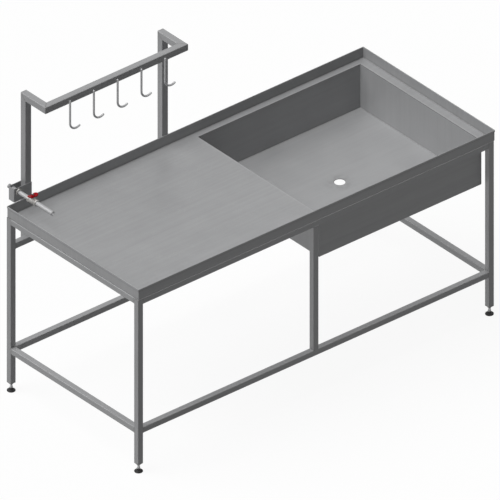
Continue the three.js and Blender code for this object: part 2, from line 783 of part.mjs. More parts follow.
piece("worktop", worktopGeometry(), stainless);
piece("basin", basinGeometry(), stainless);
addFrame();
addHookFrame();
addHooks();
addTap();
addFeet();

// The origin of the part is on the floor, under the middle of its outside dimensions.
table.position.set(-(overallLeft + overallRight) / 2, -(overallFront + overallBack) / 2, 0);
const part = new THREE.Group();
part.add(table);

export default part;
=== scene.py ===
# %% [markdown]
# # Fish cleaning table
# The real object is a stainless table for gutting and filleting: a folded tray with a deep basin,
# on welded square tube with levelling feet, with a hook frame and a cold water tap behind its dry end.
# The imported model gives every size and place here, in metres. This script puts a finer piece in the place
# of each one that shows, with its bends, bevels, threads and welds, and gives it its finish.

# %% Load the frame
import json
import math

import bmesh
import bpy
from mathutils import Matrix, Vector

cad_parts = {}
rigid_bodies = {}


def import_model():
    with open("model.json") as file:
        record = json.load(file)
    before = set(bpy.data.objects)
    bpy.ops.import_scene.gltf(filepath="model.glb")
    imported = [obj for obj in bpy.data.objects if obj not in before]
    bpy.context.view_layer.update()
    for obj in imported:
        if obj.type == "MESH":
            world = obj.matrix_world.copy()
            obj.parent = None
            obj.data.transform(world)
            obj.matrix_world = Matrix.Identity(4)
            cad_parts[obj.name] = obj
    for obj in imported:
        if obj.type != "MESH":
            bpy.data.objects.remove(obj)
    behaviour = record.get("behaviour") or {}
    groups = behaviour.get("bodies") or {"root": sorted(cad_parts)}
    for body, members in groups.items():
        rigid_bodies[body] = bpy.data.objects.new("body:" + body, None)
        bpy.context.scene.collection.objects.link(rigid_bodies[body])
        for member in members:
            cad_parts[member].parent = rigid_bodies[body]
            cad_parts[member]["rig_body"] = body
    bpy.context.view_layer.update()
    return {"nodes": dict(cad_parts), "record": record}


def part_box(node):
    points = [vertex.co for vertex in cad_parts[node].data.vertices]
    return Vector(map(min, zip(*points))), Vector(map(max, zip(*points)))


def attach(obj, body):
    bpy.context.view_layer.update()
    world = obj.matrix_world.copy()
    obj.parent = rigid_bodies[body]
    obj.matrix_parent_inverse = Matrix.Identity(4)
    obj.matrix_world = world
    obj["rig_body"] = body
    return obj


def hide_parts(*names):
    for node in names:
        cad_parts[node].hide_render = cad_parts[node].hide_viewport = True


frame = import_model()
MM = 0.001
slot_of = {part["node"]: part["material_slot"] for part in frame["record"]["subparts"]}

# %% [markdown]
# ## The camera
# The picture that this follows is a parallel projection: lines that are parallel on the table stay
# parallel in it. A perspective camera far away would only come close to that. An orthographic camera
# does it, and needs only a direction, a middle and a width.

# %% Camera
VIEW_AZIMUTH = math.radians(-40.05)
VIEW_ELEVATION = math.radians(32.23)
VIEW_WIDTH = 2.2526
VIEW_MIDDLE = Vector((0.0441, 0.0246, 0.5))
VIEW_DISTANCE = 6.0

view_back = Vector((
    math.sin(VIEW_AZIMUTH) * math.cos(VIEW_ELEVATION),
    -math.cos(VIEW_AZIMUTH) * math.cos(VIEW_ELEVATION),
    math.sin(VIEW_ELEVATION),
))
camera_data = bpy.data.cameras.new("table_view")
camera_data.type = "ORTHO"
camera_data.ortho_scale = VIEW_WIDTH
camera = bpy.data.objects.new("table_view", camera_data)
camera.location = VIEW_MIDDLE + view_back * VIEW_DISTANCE
camera.rotation_euler = (-view_back).to_track_quat("-Z", "Y").to_euler()
bpy.context.scene.collection.objects.link(camera)
bpy.context.scene.camera = camera
print("camera at", [round(value, 3) for value in camera.location])

# %% [markdown]
# ## Node trees written as sums
# A material or a modelling tree is a graph of nodes. Linking them by hand hides what is worked out, so
# two small classes let Python expressions do it: a Tree adds any node, and a Wire is a socket that can be
# added, multiplied or turned into a soft step, each of which adds the Math node that does it.


# %% Sums of sockets
class Wire:
    """A node's output socket, on which sums can be written."""

    def __init__(self, tree, socket):
        self.tree = tree
        self.socket = socket

    def maths(self, operation, *values):
        return self.tree.node("ShaderNodeMath", {"operation": operation}, dict(enumerate(values)))

    def through(self, operation):
        """This value put through an operation on one value, such as a square root."""
        return self.maths(operation, self)

    def __add__(self, other):
        return self.maths("ADD", self, other)

    def __radd__(self, other):
        return self.maths("ADD", other, self)

    def __sub__(self, other):
        return self.maths("SUBTRACT", self, other)

    def __rsub__(self, other):
        return self.maths("SUBTRACT", other, self)

    def __mul__(self, other):
        return self.maths("MULTIPLY", self, other)

    def __rmul__(self, other):
        return self.maths("MULTIPLY", other, self)

    def __truediv__(self, other):
        return self.maths("DIVIDE", self, other)

    def __rtruediv__(self, other):
        return self.maths("DIVIDE", other, self)

    def __abs__(self):
        return self.through("ABSOLUTE")

    def least(self, other):
        return self.maths("MINIMUM", self, other)

    def most(self, other):
        return self.maths("MAXIMUM", self, other)

    def step(self, start, end):
        """0 at start and 1 at end, with a soft step between them, whichever is larger."""
        settings = {"interpolation_type": "SMOOTHSTEP"}
        inputs = {"Value": self, "From Min": start, "From Max": end}
        return self.tree.node("ShaderNodeMapRange", settings, inputs)


print("sockets can be summed")

# %% Trees of nodes
# The Mix node has a set of sockets for each kind of value. These are the ones for colours.
MIX_AMOUNT, MIX_FIRST, MIX_SECOND, MIX_RESULT = 0, 6, 7, 2


class Tree:
    """Adds nodes to a node tree."""

    def __init__(self, node_tree):
        self.nodes = node_tree.nodes
        self.links = node_tree.links

    def node(self, kind, settings=None, inputs=None, output=0):
        """Adds a node with its settings, then its sockets' values or links, and returns an output."""
        made = self.nodes.new(kind)
        for setting, value in (settings or {}).items():
            setattr(made, setting, value)
        for place, value in (inputs or {}).items():
            if isinstance(value, Wire):
                self.links.new(value.socket, made.inputs[place])
            else:
                made.inputs[place].default_value = value
        return Wire(self, made.outputs[output]) if made.outputs else None

    def mix(self, amount, first, second):
        """A colour between two colours."""
        inputs = {MIX_AMOUNT: amount, MIX_FIRST: first, MIX_SECOND: second}
        return self.node("ShaderNodeMix", {"data_type": "RGBA"}, inputs, output=MIX_RESULT)


print("tree helpers ready")

# %% [markdown]
# ## Floor and light
# A product on a pale floor needs one broad lamp for its shape and an even fill. The lamp stands high at
# the left and a little behind, so tops are lightest, left sides next and front sides dark. A single lamp
# would leave the frame under the worktop in the dark. A fill lamp beside it, with its shadow turned off,
# gives part of the same light, so that a tube is shaded alike wherever it stands.
# The floor and the world are white only for what the camera sees directly or in a reflection. Their
# light on the table stays at a plain level, and the floor still takes the table's shadow.

# %% World
FILL = 0.13
WHITE = (1, 1, 1, 1)


def seen_directly(tree):
    """1 for what the camera sees itself, in a reflection or through glass."""
    path = tree.node("ShaderNodeLightPath")
    outputs = path.socket.node.outputs
    glossy = Wire(tree, outputs["Is Glossy Ray"])
    through = Wire(tree, outputs["Is Transmission Ray"])
    return path.most(glossy).most(through)


world = bpy.data.worlds.new("studio")
bpy.context.scene.world = world
world.use_nodes = True
world.node_tree.nodes.clear()
sky = Tree(world.node_tree)
sky_strength = FILL + seen_directly(sky) * (1 - FILL)
sky_light = sky.node("ShaderNodeBackground", inputs={"Color": WHITE, "Strength": sky_strength})
sky.node("ShaderNodeOutputWorld", inputs={"Surface": sky_light})
print("world gives", FILL, "of white")

# %% Lamps
SUN_STRENGTH = 3.02
FILL_LAMP_SHARE = 0.65
SUN_SPREAD = math.radians(46)
SUN_FROM = Vector((-0.49, 0.26, 0.83))

lamp_shares = {"broad_lamp": 1 - FILL_LAMP_SHARE, "fill_lamp": FILL_LAMP_SHARE}
for name, share in lamp_shares.items():
    lamp_data = bpy.data.lights.new(name, "SUN")
    lamp_data.energy = SUN_STRENGTH * share
    lamp_data.angle = SUN_SPREAD
    lamp_data.use_shadow = name == "broad_lamp"
    lamp = bpy.data.objects.new(name, lamp_data)
    lamp.rotation_euler = SUN_FROM.to_track_quat("Z", "Y").to_euler()
    bpy.context.scene.collection.objects.link(lamp)
print("lamps:", len(lamp_shares))

# %% Floor
FLOOR_HALF = 40.0
FLOOR_GREY = (0.16, 0.16, 0.16, 1)
FLOOR_GLOW = 0.84

floor_material = bpy.data.materials.new("pale_floor")
floor_material.use_nodes = True
floor_material.node_tree.nodes.clear()
floor_tree = Tree(floor_material.node_tree)
floor_coat = floor_tree.node("ShaderNodeBsdfDiffuse", inputs={"Color": FLOOR_GREY})
floor_strength = seen_directly(floor_tree) * FLOOR_GLOW
floor_glow = floor_tree.node("ShaderNodeEmission", inputs={"Strength": floor_strength})
floor_sum = floor_tree.node("ShaderNodeAddShader", inputs={0: floor_coat, 1: floor_glow})
floor_tree.node("ShaderNodeOutputMaterial", inputs={"Surface": floor_sum})

floor_corners = [(x * FLOOR_HALF, y * FLOOR_HALF, 0) for x, y in ((-1, -1), (1, -1), (1, 1), (-1, 1))]
floor_mesh = bpy.data.meshes.new("pale_floor")
floor_mesh.from_pydata(floor_corners, [], [(0, 1, 2, 3)])
floor_mesh.materials.append(floor_material)
floor = bpy.data.objects.new("pale_floor", floor_mesh)
bpy.context.scene.collection.objects.link(floor)
bpy.context.scene.view_settings.view_transform = "Standard"
print("floor", round(2 * FLOOR_HALF), "m wide")

# %% [markdown]
# ## Brushed stainless steel
# Sheet and tube come from the mill with a brushed grain: fine lines along the rolling direction, in soft
# bands where the belt pressed harder. Handling leaves smudges on it. A photo of brushed metal laid over
# the pieces would repeat itself and break at the folds, so noises make the finish. One stretched along
# the grain makes the lines, a wider one the bands, and a round one the smudges. They vary the colour a
# little and the roughness more, since that is how brushing shows. All of it is worked out from the
# object's own coordinates, so it stays on the piece from every side.

# %% Finish helpers
X, Y, Z = 0, 1, 2
NOISE_MIDDLE = 0.5
BUMP_STRENGTH = 0.5


def material_of(name, build):
    """A material whose build function gives the values and links of its shader's sockets."""
    made = bpy.data.materials.new(name)
    made.use_nodes = True
    made.node_tree.nodes.clear()
    tree = Tree(made.node_tree)
    shader = tree.node("ShaderNodeBsdfPrincipled", inputs=build(tree))
    tree.node("ShaderNodeOutputMaterial", inputs={"Surface": shader})
    return made


def place_on(tree):
    """The object's own coordinates."""
    return tree.node("ShaderNodeTexCoord", output="Object")


def axes_of(tree, vector):
    """The three parts of a vector."""
    parts = tree.node("ShaderNodeSeparateXYZ", inputs={0: vector})
    return [Wire(tree, socket) for socket in parts.socket.node.outputs]


def noise(tree, vector, scale, detail):
    return tree.node("ShaderNodeTexNoise", inputs={"Vector": vector, "Scale": scale, "Detail": detail})


def stretched(tree, vector, grain, length, width):
    """Coordinates in which one unit is this long along the grain and this wide across it."""
    scale = [1 / width] * 3
    scale[grain] = 1 / length
    return tree.node("ShaderNodeVectorMath", {"operation": "MULTIPLY"}, {0: vector, 1: scale})


def raised(tree, height, depth):
    """A normal that follows a height between 0 and 1."""
    inputs = {"Strength": BUMP_STRENGTH, "Distance": depth, "Height": height}
    return tree.node("ShaderNodeBump", inputs=inputs)


def swung(middle, swings, patterns):
    """A value that swings round its middle by these amounts as the patterns rise and fall."""
    value = middle
    for swing, pattern in zip(swings, patterns):
        value = value + swing * (pattern - NOISE_MIDDLE)
    return value


print("finish helpers ready")

# %% Steel finish
STEEL_DARK = (0.235, 0.238, 0.243, 1)
STEEL_LIGHT = (0.45, 0.452, 0.458, 1)
STEEL_METALLIC = 0.14
STEEL_SHEEN = 0.15
STEEL_ROUGHNESS = 0.4
LINE_LENGTH = 90 * MM
LINE_WIDTH = 0.8 * MM
BAND_LENGTH = 1100 * MM
BAND_WIDTH = 16 * MM
SMUDGE_SCALE = 7
LINE_DEPTH = 0.02 * MM
# How far the lines, the bands and the smudges swing the shade and the roughness.
SHADE_SWINGS = (0.42, 0.26, 0.26)
ROUGHNESS_SWINGS = (0.24, 0.12, 0.2)


def brushing(tree, place, grain):
    """The fine lines and the soft bands of a grain along one axis."""
    lines = noise(tree, stretched(tree, place, grain, LINE_LENGTH, LINE_WIDTH), 1, detail=3)
    bands = noise(tree, stretched(tree, place, grain, BAND_LENGTH, BAND_WIDTH), 1, detail=2)
    return lines, bands


def steel_sockets(tree, place, lines, bands):
    """The sockets of brushed steel, from its lines and bands."""
    patterns = (lines, bands, noise(tree, place, SMUDGE_SCALE, detail=4))
    shade = swung(NOISE_MIDDLE, SHADE_SWINGS, patterns)
    return {
        "Base Color": tree.mix(shade, STEEL_DARK, STEEL_LIGHT),
        "Roughness": swung(STEEL_ROUGHNESS, ROUGHNESS_SWINGS, patterns),
        "Metallic": STEEL_METALLIC,
        "Specular IOR Level": STEEL_SHEEN,
        "Normal": raised(tree, lines, LINE_DEPTH),
    }


print("steel finish ready")

# %% [markdown]
# ## Stains, painted light and painted shade
# Grime, heat and wear change a finish in some places, and painted light and painted shade lie over it in
# others.
# Each could be a material of its own, but then the brushing under it would stop at its edge. So a stain,
# like a painted light or shade, takes the sockets of a finish and moves only its colour and roughness, by an
# amount between 0 and 1 that is worked out for each place.

# %% Stains and painted light and shade
# The dark colour of real grime, also used for the painted shade in the bends, under the hem and at the cut
# edge.
GRIME_AND_PAINTED_SHADE = (0.045, 0.042, 0.038, 1)
GRIME_AND_SHADE_ROUGHNESS = 0.2


def lay_stain_or_painted_light(tree, sockets, amount, colour=GRIME_AND_PAINTED_SHADE, rougher=GRIME_AND_SHADE_ROUGHNESS):
    """Lays a stain, painted light or painted shade of this amount and colour over the sockets of a finish.
    """
    sockets["Base Color"] = tree.mix(amount, sockets["Base Color"], colour)
    sockets["Roughness"] = sockets["Roughness"] + amount * rougher
    return sockets


print("stains ready")

# %% [markdown]
# ## Meshes from rings
# Primitives and modifiers could make each piece in a way of its own. But folded sheet, square tube,
# turned parts and hexagons all have the same outline over and over, at another size and height. So one
# function makes them all: it takes rings with the same number of points and joins each to the next. The
# last ring joins the first where the piece is hollow, and otherwise both ends close. Blender then works
# out which way is outwards, and a weighted normal keeps wide faces flat next to narrow bends.

# %% Rings
CORNER_STEPS = 12


def rounded(x0, x1, y0, y1, radius, height):
    """A ring round a rectangle with round corners, counter-clockwise from above."""
    corners = [(x1 - radius, y1 - radius), (x0 + radius, y1 - radius)]
    corners += [(x0 + radius, y0 + radius), (x1 - radius, y0 + radius)]
    ring = []
    for corner, (x, y) in enumerate(corners):
        for step in range(CORNER_STEPS):
            angle = math.pi / 2 * (corner + (step + 0.5) / CORNER_STEPS)
            ring.append(Vector((x + radius * math.cos(angle), y + radius * math.sin(angle), height)))
    return ring


def polar(radius_at, height_at):
    """A ring about the origin, from the radius and the height at each angle."""
    count = 4 * CORNER_STEPS
    angles = [2 * math.pi * i / count for i in range(count)]
    return [Vector((radius_at(a) * math.cos(a), radius_at(a) * math.sin(a), height_at(a))) for a in angles]


def circle(radius, height):
    """A round ring about the origin."""
    return polar(lambda angle: radius, lambda angle: height)


def arc(centre_inset, centre_height, radius, start, end, steps):
    """Points of an arc in a profile of (inset, height), between two angles in degrees."""
    angles = [math.radians(start + (end - start) * i / steps) for i in range(steps + 1)]
    return [(centre_inset + radius * math.cos(a), centre_height + radius * math.sin(a)) for a in angles]


print("rings have", 4 * CORNER_STEPS, "points")


# %% Skins
def skin(rings, closed=False, place=None):
    """A mesh through rings. Closed joins the last ring to the first, and otherwise both ends are filled."""
    count = len(rings[0])
    points = [place @ point if place else point for ring in rings for point in ring]
    faces = []
    for i in range(len(rings) if closed else len(rings) - 1):
        this, following = i * count, (i + 1) % len(rings) * count
        for j in range(count):
            k = (j + 1) % count
            faces.append((this + j, this + k, following + k, following + j))
    if not closed:
        faces.append(tuple(range(count)))
        faces.append(tuple(range(len(points) - count, len(points))))
    mesh = bpy.data.meshes.new("rings")
    mesh.from_pydata(points, [], faces)
    shaped = bmesh.new()
    shaped.from_mesh(mesh)
    bmesh.ops.recalc_face_normals(shaped, faces=shaped.faces)
    shaped.to_mesh(mesh)
    shaped.free()
    return mesh


def joined(meshes):
    """One mesh of several."""
    whole = bmesh.new()
    for mesh in meshes:
        whole.from_mesh(mesh)
    for mesh in meshes[1:]:
        bpy.data.meshes.remove(mesh)
    whole.to_mesh(meshes[0])
    whole.free()
    return meshes[0]


print("skin helpers ready")

# %% Finished pieces
SHARP_ANGLE = math.radians(32)


def plain_mesh(piece):
    """The piece's mesh with its modifiers worked in."""
    graph = bpy.context.evaluated_depsgraph_get()
    evaluated = piece.evaluated_get(graph)
    return bpy.data.meshes.new_from_object(evaluated, preserve_all_data_layers=True, depsgraph=graph)


def keep(name, mesh, material, *nodes):
    """Makes a finished piece of a mesh, in place of these nodes and on their body."""
    mesh.materials.clear()
    mesh.materials.append(material)
    mesh.shade_smooth()
    mesh.set_sharp_from_angle(angle=SHARP_ANGLE)
    piece = bpy.data.objects.new(name, mesh)
    bpy.context.scene.collection.objects.link(piece)
    flats = piece.modifiers.new("flats", "WEIGHTED_NORMAL")
    flats.keep_sharp = True
    finished = plain_mesh(piece)
    piece.modifiers.clear()
    piece.data = finished
    bpy.data.meshes.remove(mesh)
    finished.name = name
    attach(piece, frame["nodes"][nodes[0]]["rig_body"])
    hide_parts(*nodes)
    print(name, "faces:", len(finished.polygons))
    return piece


print("pieces keep edges sharper than", round(math.degrees(SHARP_ANGLE)), "degrees")

# %% [markdown]
# ## The tray
# The top is one sheet: the floor, a bend, the rim, and a hem where the rim's edge is folded outwards and
# down on itself so that no hand meets a raw edge. The corners are welded and ground round. A cut-out in
# the floor opens to the basin. Modifiers could bend and thicken a flat sheet, but the hem's slit is
# easier to hold at its width in an outline. As rings, the sheet runs from the cut-out's lower edge out
# along the underside, up the rim, round the hem with its narrow slit, down inside and back over the
# floor.

# %% Sheet sizes
SHEET = 2 * MM
BEND = 3 * MM
work_low, work_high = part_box("worktop")
basin_low, basin_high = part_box("basin")
WORK_SURFACE = work_low.z + SHEET
cut_low = basin_low + Vector((SHEET, SHEET, 0))
cut_high = basin_high - Vector((SHEET, SHEET, 0))
print("work surface at", round(WORK_SURFACE / MM), "mm")

# %% [markdown]
# ## How a tray gets used, and where shade is painted
# Knives leave thin crossing scratches where the fish is cut. Shade is painted into the bends, patchy like
# grime, a painted shadow lies under the hem, and a dark line of painted shade runs where tray and basin
# meet. The weld there is ground, which leaves a lighter band. Painting these by hand would fix them to one
# size of table. So each is a mask, worked out from noises and from how far a place lies from the edges.

# %% Scratches and patches
FOLDED_UP = (0.6, 0.75)
SCRATCH_TURNS = (0.35, 1.2, 2.4)
SCRATCH_LENGTH = 160 * MM
SCRATCH_SPREAD = 9 * MM
SCRATCH_EDGES = (0.007, 0.002)
WORKED_SCALE = 9
WORKED = (0.45, 0.62)
PATCH_SCALE = 14
PATCH_MIDDLE = 0.7
PATCH_SWING = 0.6


def inside_of(x, y, low, high):
    """How far a place lies inside a rectangle, less than zero outside it."""
    across = (x - low.x).least(high.x - x)
    return across.least((y - low.y).least(high.y - y))


def sheet_brushing(tree, place):
    """Brushing along X, which stands upright where the sheet's ends are folded up."""
    normal = axes_of(tree, tree.node("ShaderNodeTexCoord", output="Normal"))
    end_wall = abs(normal[X]).step(*FOLDED_UP)
    along = brushing(tree, place, X)
    upright = brushing(tree, place, Z)
    return [a + end_wall * (b - a) for a, b in zip(along, upright)]


def scratches(tree, place):
    """Thin crossing cuts from knives, thickest where the work is done."""
    marks = None
    for turn in SCRATCH_TURNS:
        settings = {"vector_type": "POINT"}
        turned = tree.node("ShaderNodeMapping", settings, {"Vector": place, "Rotation": (0, 0, turn)})
        lines = noise(tree, stretched(tree, turned, X, SCRATCH_LENGTH, SCRATCH_SPREAD), 1, detail=1)
        cut = abs(lines - NOISE_MIDDLE).step(*SCRATCH_EDGES)
        marks = cut if marks is None else marks.most(cut)
    return marks * noise(tree, place, WORKED_SCALE, detail=3).step(*WORKED)


def patches(tree, place):
    """Makes the painted shade in the bends thicker in some places than in others, patchy like grime."""
    return swung(PATCH_MIDDLE, (PATCH_SWING,), (noise(tree, place, PATCH_SCALE, detail=3),))


print("scratches run in", len(SCRATCH_TURNS), "directions")

# %% Places on the tray
HEM = 10 * MM
FLOOR_FADE = (14 * MM, 1 * MM)
FLOOR_SKIN = 0.5 * MM
# How far the painted shadow under the hem reaches down the rim.
HEM_SHADOW_REACH = 5 * MM


def on_tray_floor(z):
    """1 on the tray's floor, fading up the foot of its bends."""
    from_above = z.step(*[WORK_SURFACE + height for height in FLOOR_FADE])
    return from_above * z.step(work_low.z, WORK_SURFACE - FLOOR_SKIN)


def below_hem(z):
    """1 just below the hem's edge, fading down the rim."""
    hem_edge = work_high.z - HEM
    upwards = z.step(hem_edge - HEM_SHADOW_REACH, hem_edge - FLOOR_SKIN)
    return upwards * z.step(hem_edge + FLOOR_SKIN, hem_edge - FLOOR_SKIN)


print("hem", round(HEM / MM), "mm")

# %% Tray finish
INNER_SIDE = (2.6 * MM, 3.4 * MM)
OUTER_SIDE = (2.6 * MM, 2.2 * MM)
# Painted shade along the foot of the rim's bend, on the tray's floor.
BEND_PAINTED_SHADE = (13 * MM, 6 * MM)
BEND_PAINTED_SHADE_AMOUNT = 0.4
GROUND_BAND = (11 * MM, 6.6 * MM)
GROUND_AMOUNT = 0.3
GROUND_ROUGHNESS = 0.1
# A dark line of painted shade at the cut-out's edge, where tray and basin meet.
CUT_SHADE_LINE = (2.2 * MM, 0.4 * MM)
CUT_SHADE_LINE_AMOUNT = 0.6
SCRATCH_AMOUNT = 0.35
SCRATCH_ROUGHNESS = 0.15
# How dark the painted shadow under the hem is.
HEM_SHADOW_AMOUNT = 0.5


def tray_sockets(tree):
    place = place_on(tree)
    x, y, z = axes_of(tree, place)
    lines, bands = sheet_brushing(tree, place)
    sockets = steel_sockets(tree, place, lines, bands)
    on_floor = on_tray_floor(z)
    to_rim = inside_of(x, y, work_low, work_high)
    inner_side = to_rim.step(*INNER_SIDE)
    # Painted shade in the bend between floor and rim, made patchy like grime.
    bend_painted_shade = to_rim.step(*BEND_PAINTED_SHADE) * on_floor * inner_side * patches(tree, place)
    sockets = lay_stain_or_painted_light(tree, sockets, bend_painted_shade * BEND_PAINTED_SHADE_AMOUNT)
    to_cut = 0 - inside_of(x, y, cut_low, cut_high)
    ground = to_cut.step(*GROUND_BAND) * on_floor
    sockets = lay_stain_or_painted_light(tree, sockets, ground * GROUND_AMOUNT, STEEL_LIGHT, GROUND_ROUGHNESS)
    # Painted shade in the seam along the cut-out's edge.
    sockets = lay_stain_or_painted_light(tree, sockets, to_cut.step(*CUT_SHADE_LINE) * CUT_SHADE_LINE_AMOUNT)
    used = scratches(tree, place) * on_floor * inner_side
    sockets = lay_stain_or_painted_light(tree, sockets, used * SCRATCH_AMOUNT, STEEL_LIGHT, SCRATCH_ROUGHNESS)
    # A painted shadow on the outside of the rim, just under the hem's edge.
    hem_painted_shadow = below_hem(z) * to_rim.step(*OUTER_SIDE)
    return lay_stain_or_painted_light(tree, sockets, hem_painted_shadow * HEM_SHADOW_AMOUNT)


tray_steel = material_of("brushed_tray_steel", tray_sockets)
print("tray finish made")

# %% Tray
HEM_SLIT = 0.3 * MM
HEM_CORNER = 5 * MM
INNER_CORNER = 1.5 * MM
CUT_CORNER = 4 * MM
EDGE = 0.4 * MM
BEND_STEPS = 8
SMALL_STEPS = 4


def sheet_ring(low, high, corner, inset, height):
    """A ring inside a box's outline, with corners that tighten as it goes in."""
    radius = max(corner - inset, INNER_CORNER)
    return rounded(low.x + inset, high.x - inset, low.y + inset, high.y - inset, radius, height)


def fold(inset, underside):
    """The outer and inner bend between a sheet's floor and its wall."""
    centre = (inset + SHEET + BEND, underside + SHEET + BEND)
    outer = arc(*centre, BEND + SHEET, 270, 180, BEND_STEPS)
    inner = arc(*centre, BEND, 180, 270, BEND_STEPS)
    return outer, inner


def tray_mesh():
    outer, inner = fold(SHEET, work_low.z)
    top = work_high.z
    hem_inside = SHEET - HEM_SLIT
    slit = [(SHEET, top - SHEET), (hem_inside, top - SHEET)]
    lip = [(hem_inside, top - HEM + EDGE), (hem_inside - EDGE, top - HEM), (EDGE, top - HEM)]
    over = [(0, top - HEM + EDGE)] + arc(SHEET, top - SHEET, SHEET, 180, 0, 2 * BEND_STEPS)
    profile = outer + slit + lip + over + inner
    rings = [sheet_ring(work_low, work_high, HEM_CORNER, inset, height) for inset, height in profile]
    cut = [(-EDGE, WORK_SURFACE), (0, WORK_SURFACE - EDGE), (0, work_low.z)]
    rings += [sheet_ring(cut_low, cut_high, CUT_CORNER, inset, height) for inset, height in cut]
    return skin(rings, closed=True)


keep("worktop_tray", tray_mesh(), tray_steel, "worktop")

# %% [markdown]
# ## The basin
# The basin is a second sheet, folded to a box and welded up flush under the cut-out, with a bare hole for
# the drain fitting. A boolean could cut the hole, but here the last rings are simply round. They run from
# the hole out under the floor, up outside, over the brim and back down inside. Water leaves a faint ring
# round the drain. A thin line of painted shade runs along the bends, and the inside is painted a little
# lighter, as painted light that makes up for the shade of its walls.

# %% Basin finish
DRAIN_RADIUS = 26 * MM
BASIN_FLOOR = basin_low.z + SHEET
BASIN_INNER_SIDE = (1 * MM, 1.6 * MM)
# Painted light: the basin's inner faces are lightened to make up for the shade of its walls.
INSIDE_PAINTED_LIGHT_AMOUNT = 0.2
# A thin line of painted shade where the basin's walls meet its floor.
BEND_SHADE_LINE = (11 * MM, 5 * MM)
BEND_SHADE_LINE_HEIGHT = (8 * MM, 3 * MM)
BEND_SHADE_LINE_AMOUNT = 0.4
DRAIN_EDGE = (3 * MM, 1 * MM)
DRAIN_EDGE_AMOUNT = 0.7
RING_RADIUS = 3.4 * DRAIN_RADIUS
RING_HEIGHT = (30 * MM, 1 * MM)
RING_AMOUNT = 0.25
BLOTCH_SCALE = 30
BLOTCH = (0.35, 0.75)
basin_middle = (basin_low + basin_high) / 2


def basin_sockets(tree):
    place = place_on(tree)
    x, y, z = axes_of(tree, place)
    lines, bands = sheet_brushing(tree, place)
    sockets = steel_sockets(tree, place, lines, bands)
    to_wall = inside_of(x, y, basin_low, basin_high)
    inner_side = to_wall.step(*BASIN_INNER_SIDE)
    # Painted shade in the bends at the foot of the inner walls, made patchy like grime.
    bend_shade_line = to_wall.step(*BEND_SHADE_LINE) * z.step(*[BASIN_FLOOR + height for height in BEND_SHADE_LINE_HEIGHT])
    bend_shade_line = bend_shade_line * inner_side * patches(tree, place)
    sockets = lay_stain_or_painted_light(tree, sockets, bend_shade_line * BEND_SHADE_LINE_AMOUNT)
    # Painted light over all the inner faces, against the shade that the walls cast into the basin.
    sockets = lay_stain_or_painted_light(tree, sockets, inner_side * INSIDE_PAINTED_LIGHT_AMOUNT, STEEL_LIGHT, 0.0)
    dx = x - basin_middle.x
    dy = y - basin_middle.y
    to_drain = (dx * dx + dy * dy).through("SQRT")
    drain_edge = to_drain.step(*[DRAIN_RADIUS + reach for reach in DRAIN_EDGE])
    sockets = lay_stain_or_painted_light(tree, sockets, drain_edge * DRAIN_EDGE_AMOUNT)
    low_down = z.step(*[BASIN_FLOOR + height for height in RING_HEIGHT])
    blotch = noise(tree, place, BLOTCH_SCALE, detail=4).step(*BLOTCH)
    drain_ring = to_drain.step(RING_RADIUS, DRAIN_RADIUS) * blotch * low_down
    return lay_stain_or_painted_light(tree, sockets, drain_ring * RING_AMOUNT)


basin_steel = material_of("brushed_basin_steel", basin_sockets)
print("basin finish made")

# %% Basin
BASIN_CORNER = CUT_CORNER + SHEET


def basin_mesh():
    outer, inner = fold(0, basin_low.z)
    brim = work_low.z
    profile = outer + [(0, brim), (SHEET, brim)] + inner
    rings = [sheet_ring(basin_low, basin_high, BASIN_CORNER, inset, height) for inset, height in profile]
    hole = [(EDGE, BASIN_FLOOR), (0, BASIN_FLOOR - EDGE), (0, basin_low.z + EDGE), (EDGE, basin_low.z)]
    x, y = basin_middle.x, basin_middle.y
    for wider, height in hole:
        radius = DRAIN_RADIUS + wider
        rings.append(rounded(x - radius, x + radius, y - radius, y + radius, radius, height))
    return skin(rings, closed=True)


keep("basin_box", basin_mesh(), basin_steel, "basin")

# %% [markdown]
# ## Heat tint
# The heat of welding tints the steel towards the joints. Two values stored on the points, the distances
# to the tube's ends, let the finish darken a little there, with a ragged edge from a noise. The grain
# follows the tube, so each direction has its own material.

# %% Tube finish
HEAT_TINT = (0.1, 0.085, 0.07, 1)
HEAT_REACH = 9 * MM
HEAT_AMOUNT = 0.2
HEAT_ROUGHNESS = 0.1
RAGGED = 6 * MM
RAGGED_SCALE = 90


def stored(tree, name):
    """A value stored on the points of the mesh."""
    return tree.node("ShaderNodeAttribute", {"attribute_name": name}, output="Fac")


def tube_sockets(grain):
    def build(tree):
        place = place_on(tree)
        lines, bands = brushing(tree, place, grain)
        sockets = steel_sockets(tree, place, lines, bands)
        to_end = stored(tree, "from_start").least(stored(tree, "from_end"))
        ragged = swung(to_end, (RAGGED,), (noise(tree, place, RAGGED_SCALE, detail=2),))
        heated = ragged.step(HEAT_REACH, 0.0) * HEAT_AMOUNT
        return lay_stain_or_painted_light(tree, sockets, heated, HEAT_TINT, HEAT_ROUGHNESS)

    return build


tube_steel = [material_of(f"brushed_tube_steel_{axis}", tube_sockets(i)) for i, axis in enumerate("xyz")]
print("tube finish made")

# %% [markdown]
# ## Square tube
# The frame is cut from two sizes of square tube with round corners. A curve with a square section would
# make a tube too, but its ends are always cut square, and the hook frame is mitred. So each tube is
# rebuilt hollow from its node's box, and a mitred end is a ring whose height follows a slope. A butted
# end is welded all round, and its outline is kept for the welds. The hook frame's mitres are ground
# flush, and a leg is only welded inside its lower end, round its threaded plug. A small plate closes the
# leg's upper end, so that no water gets in.

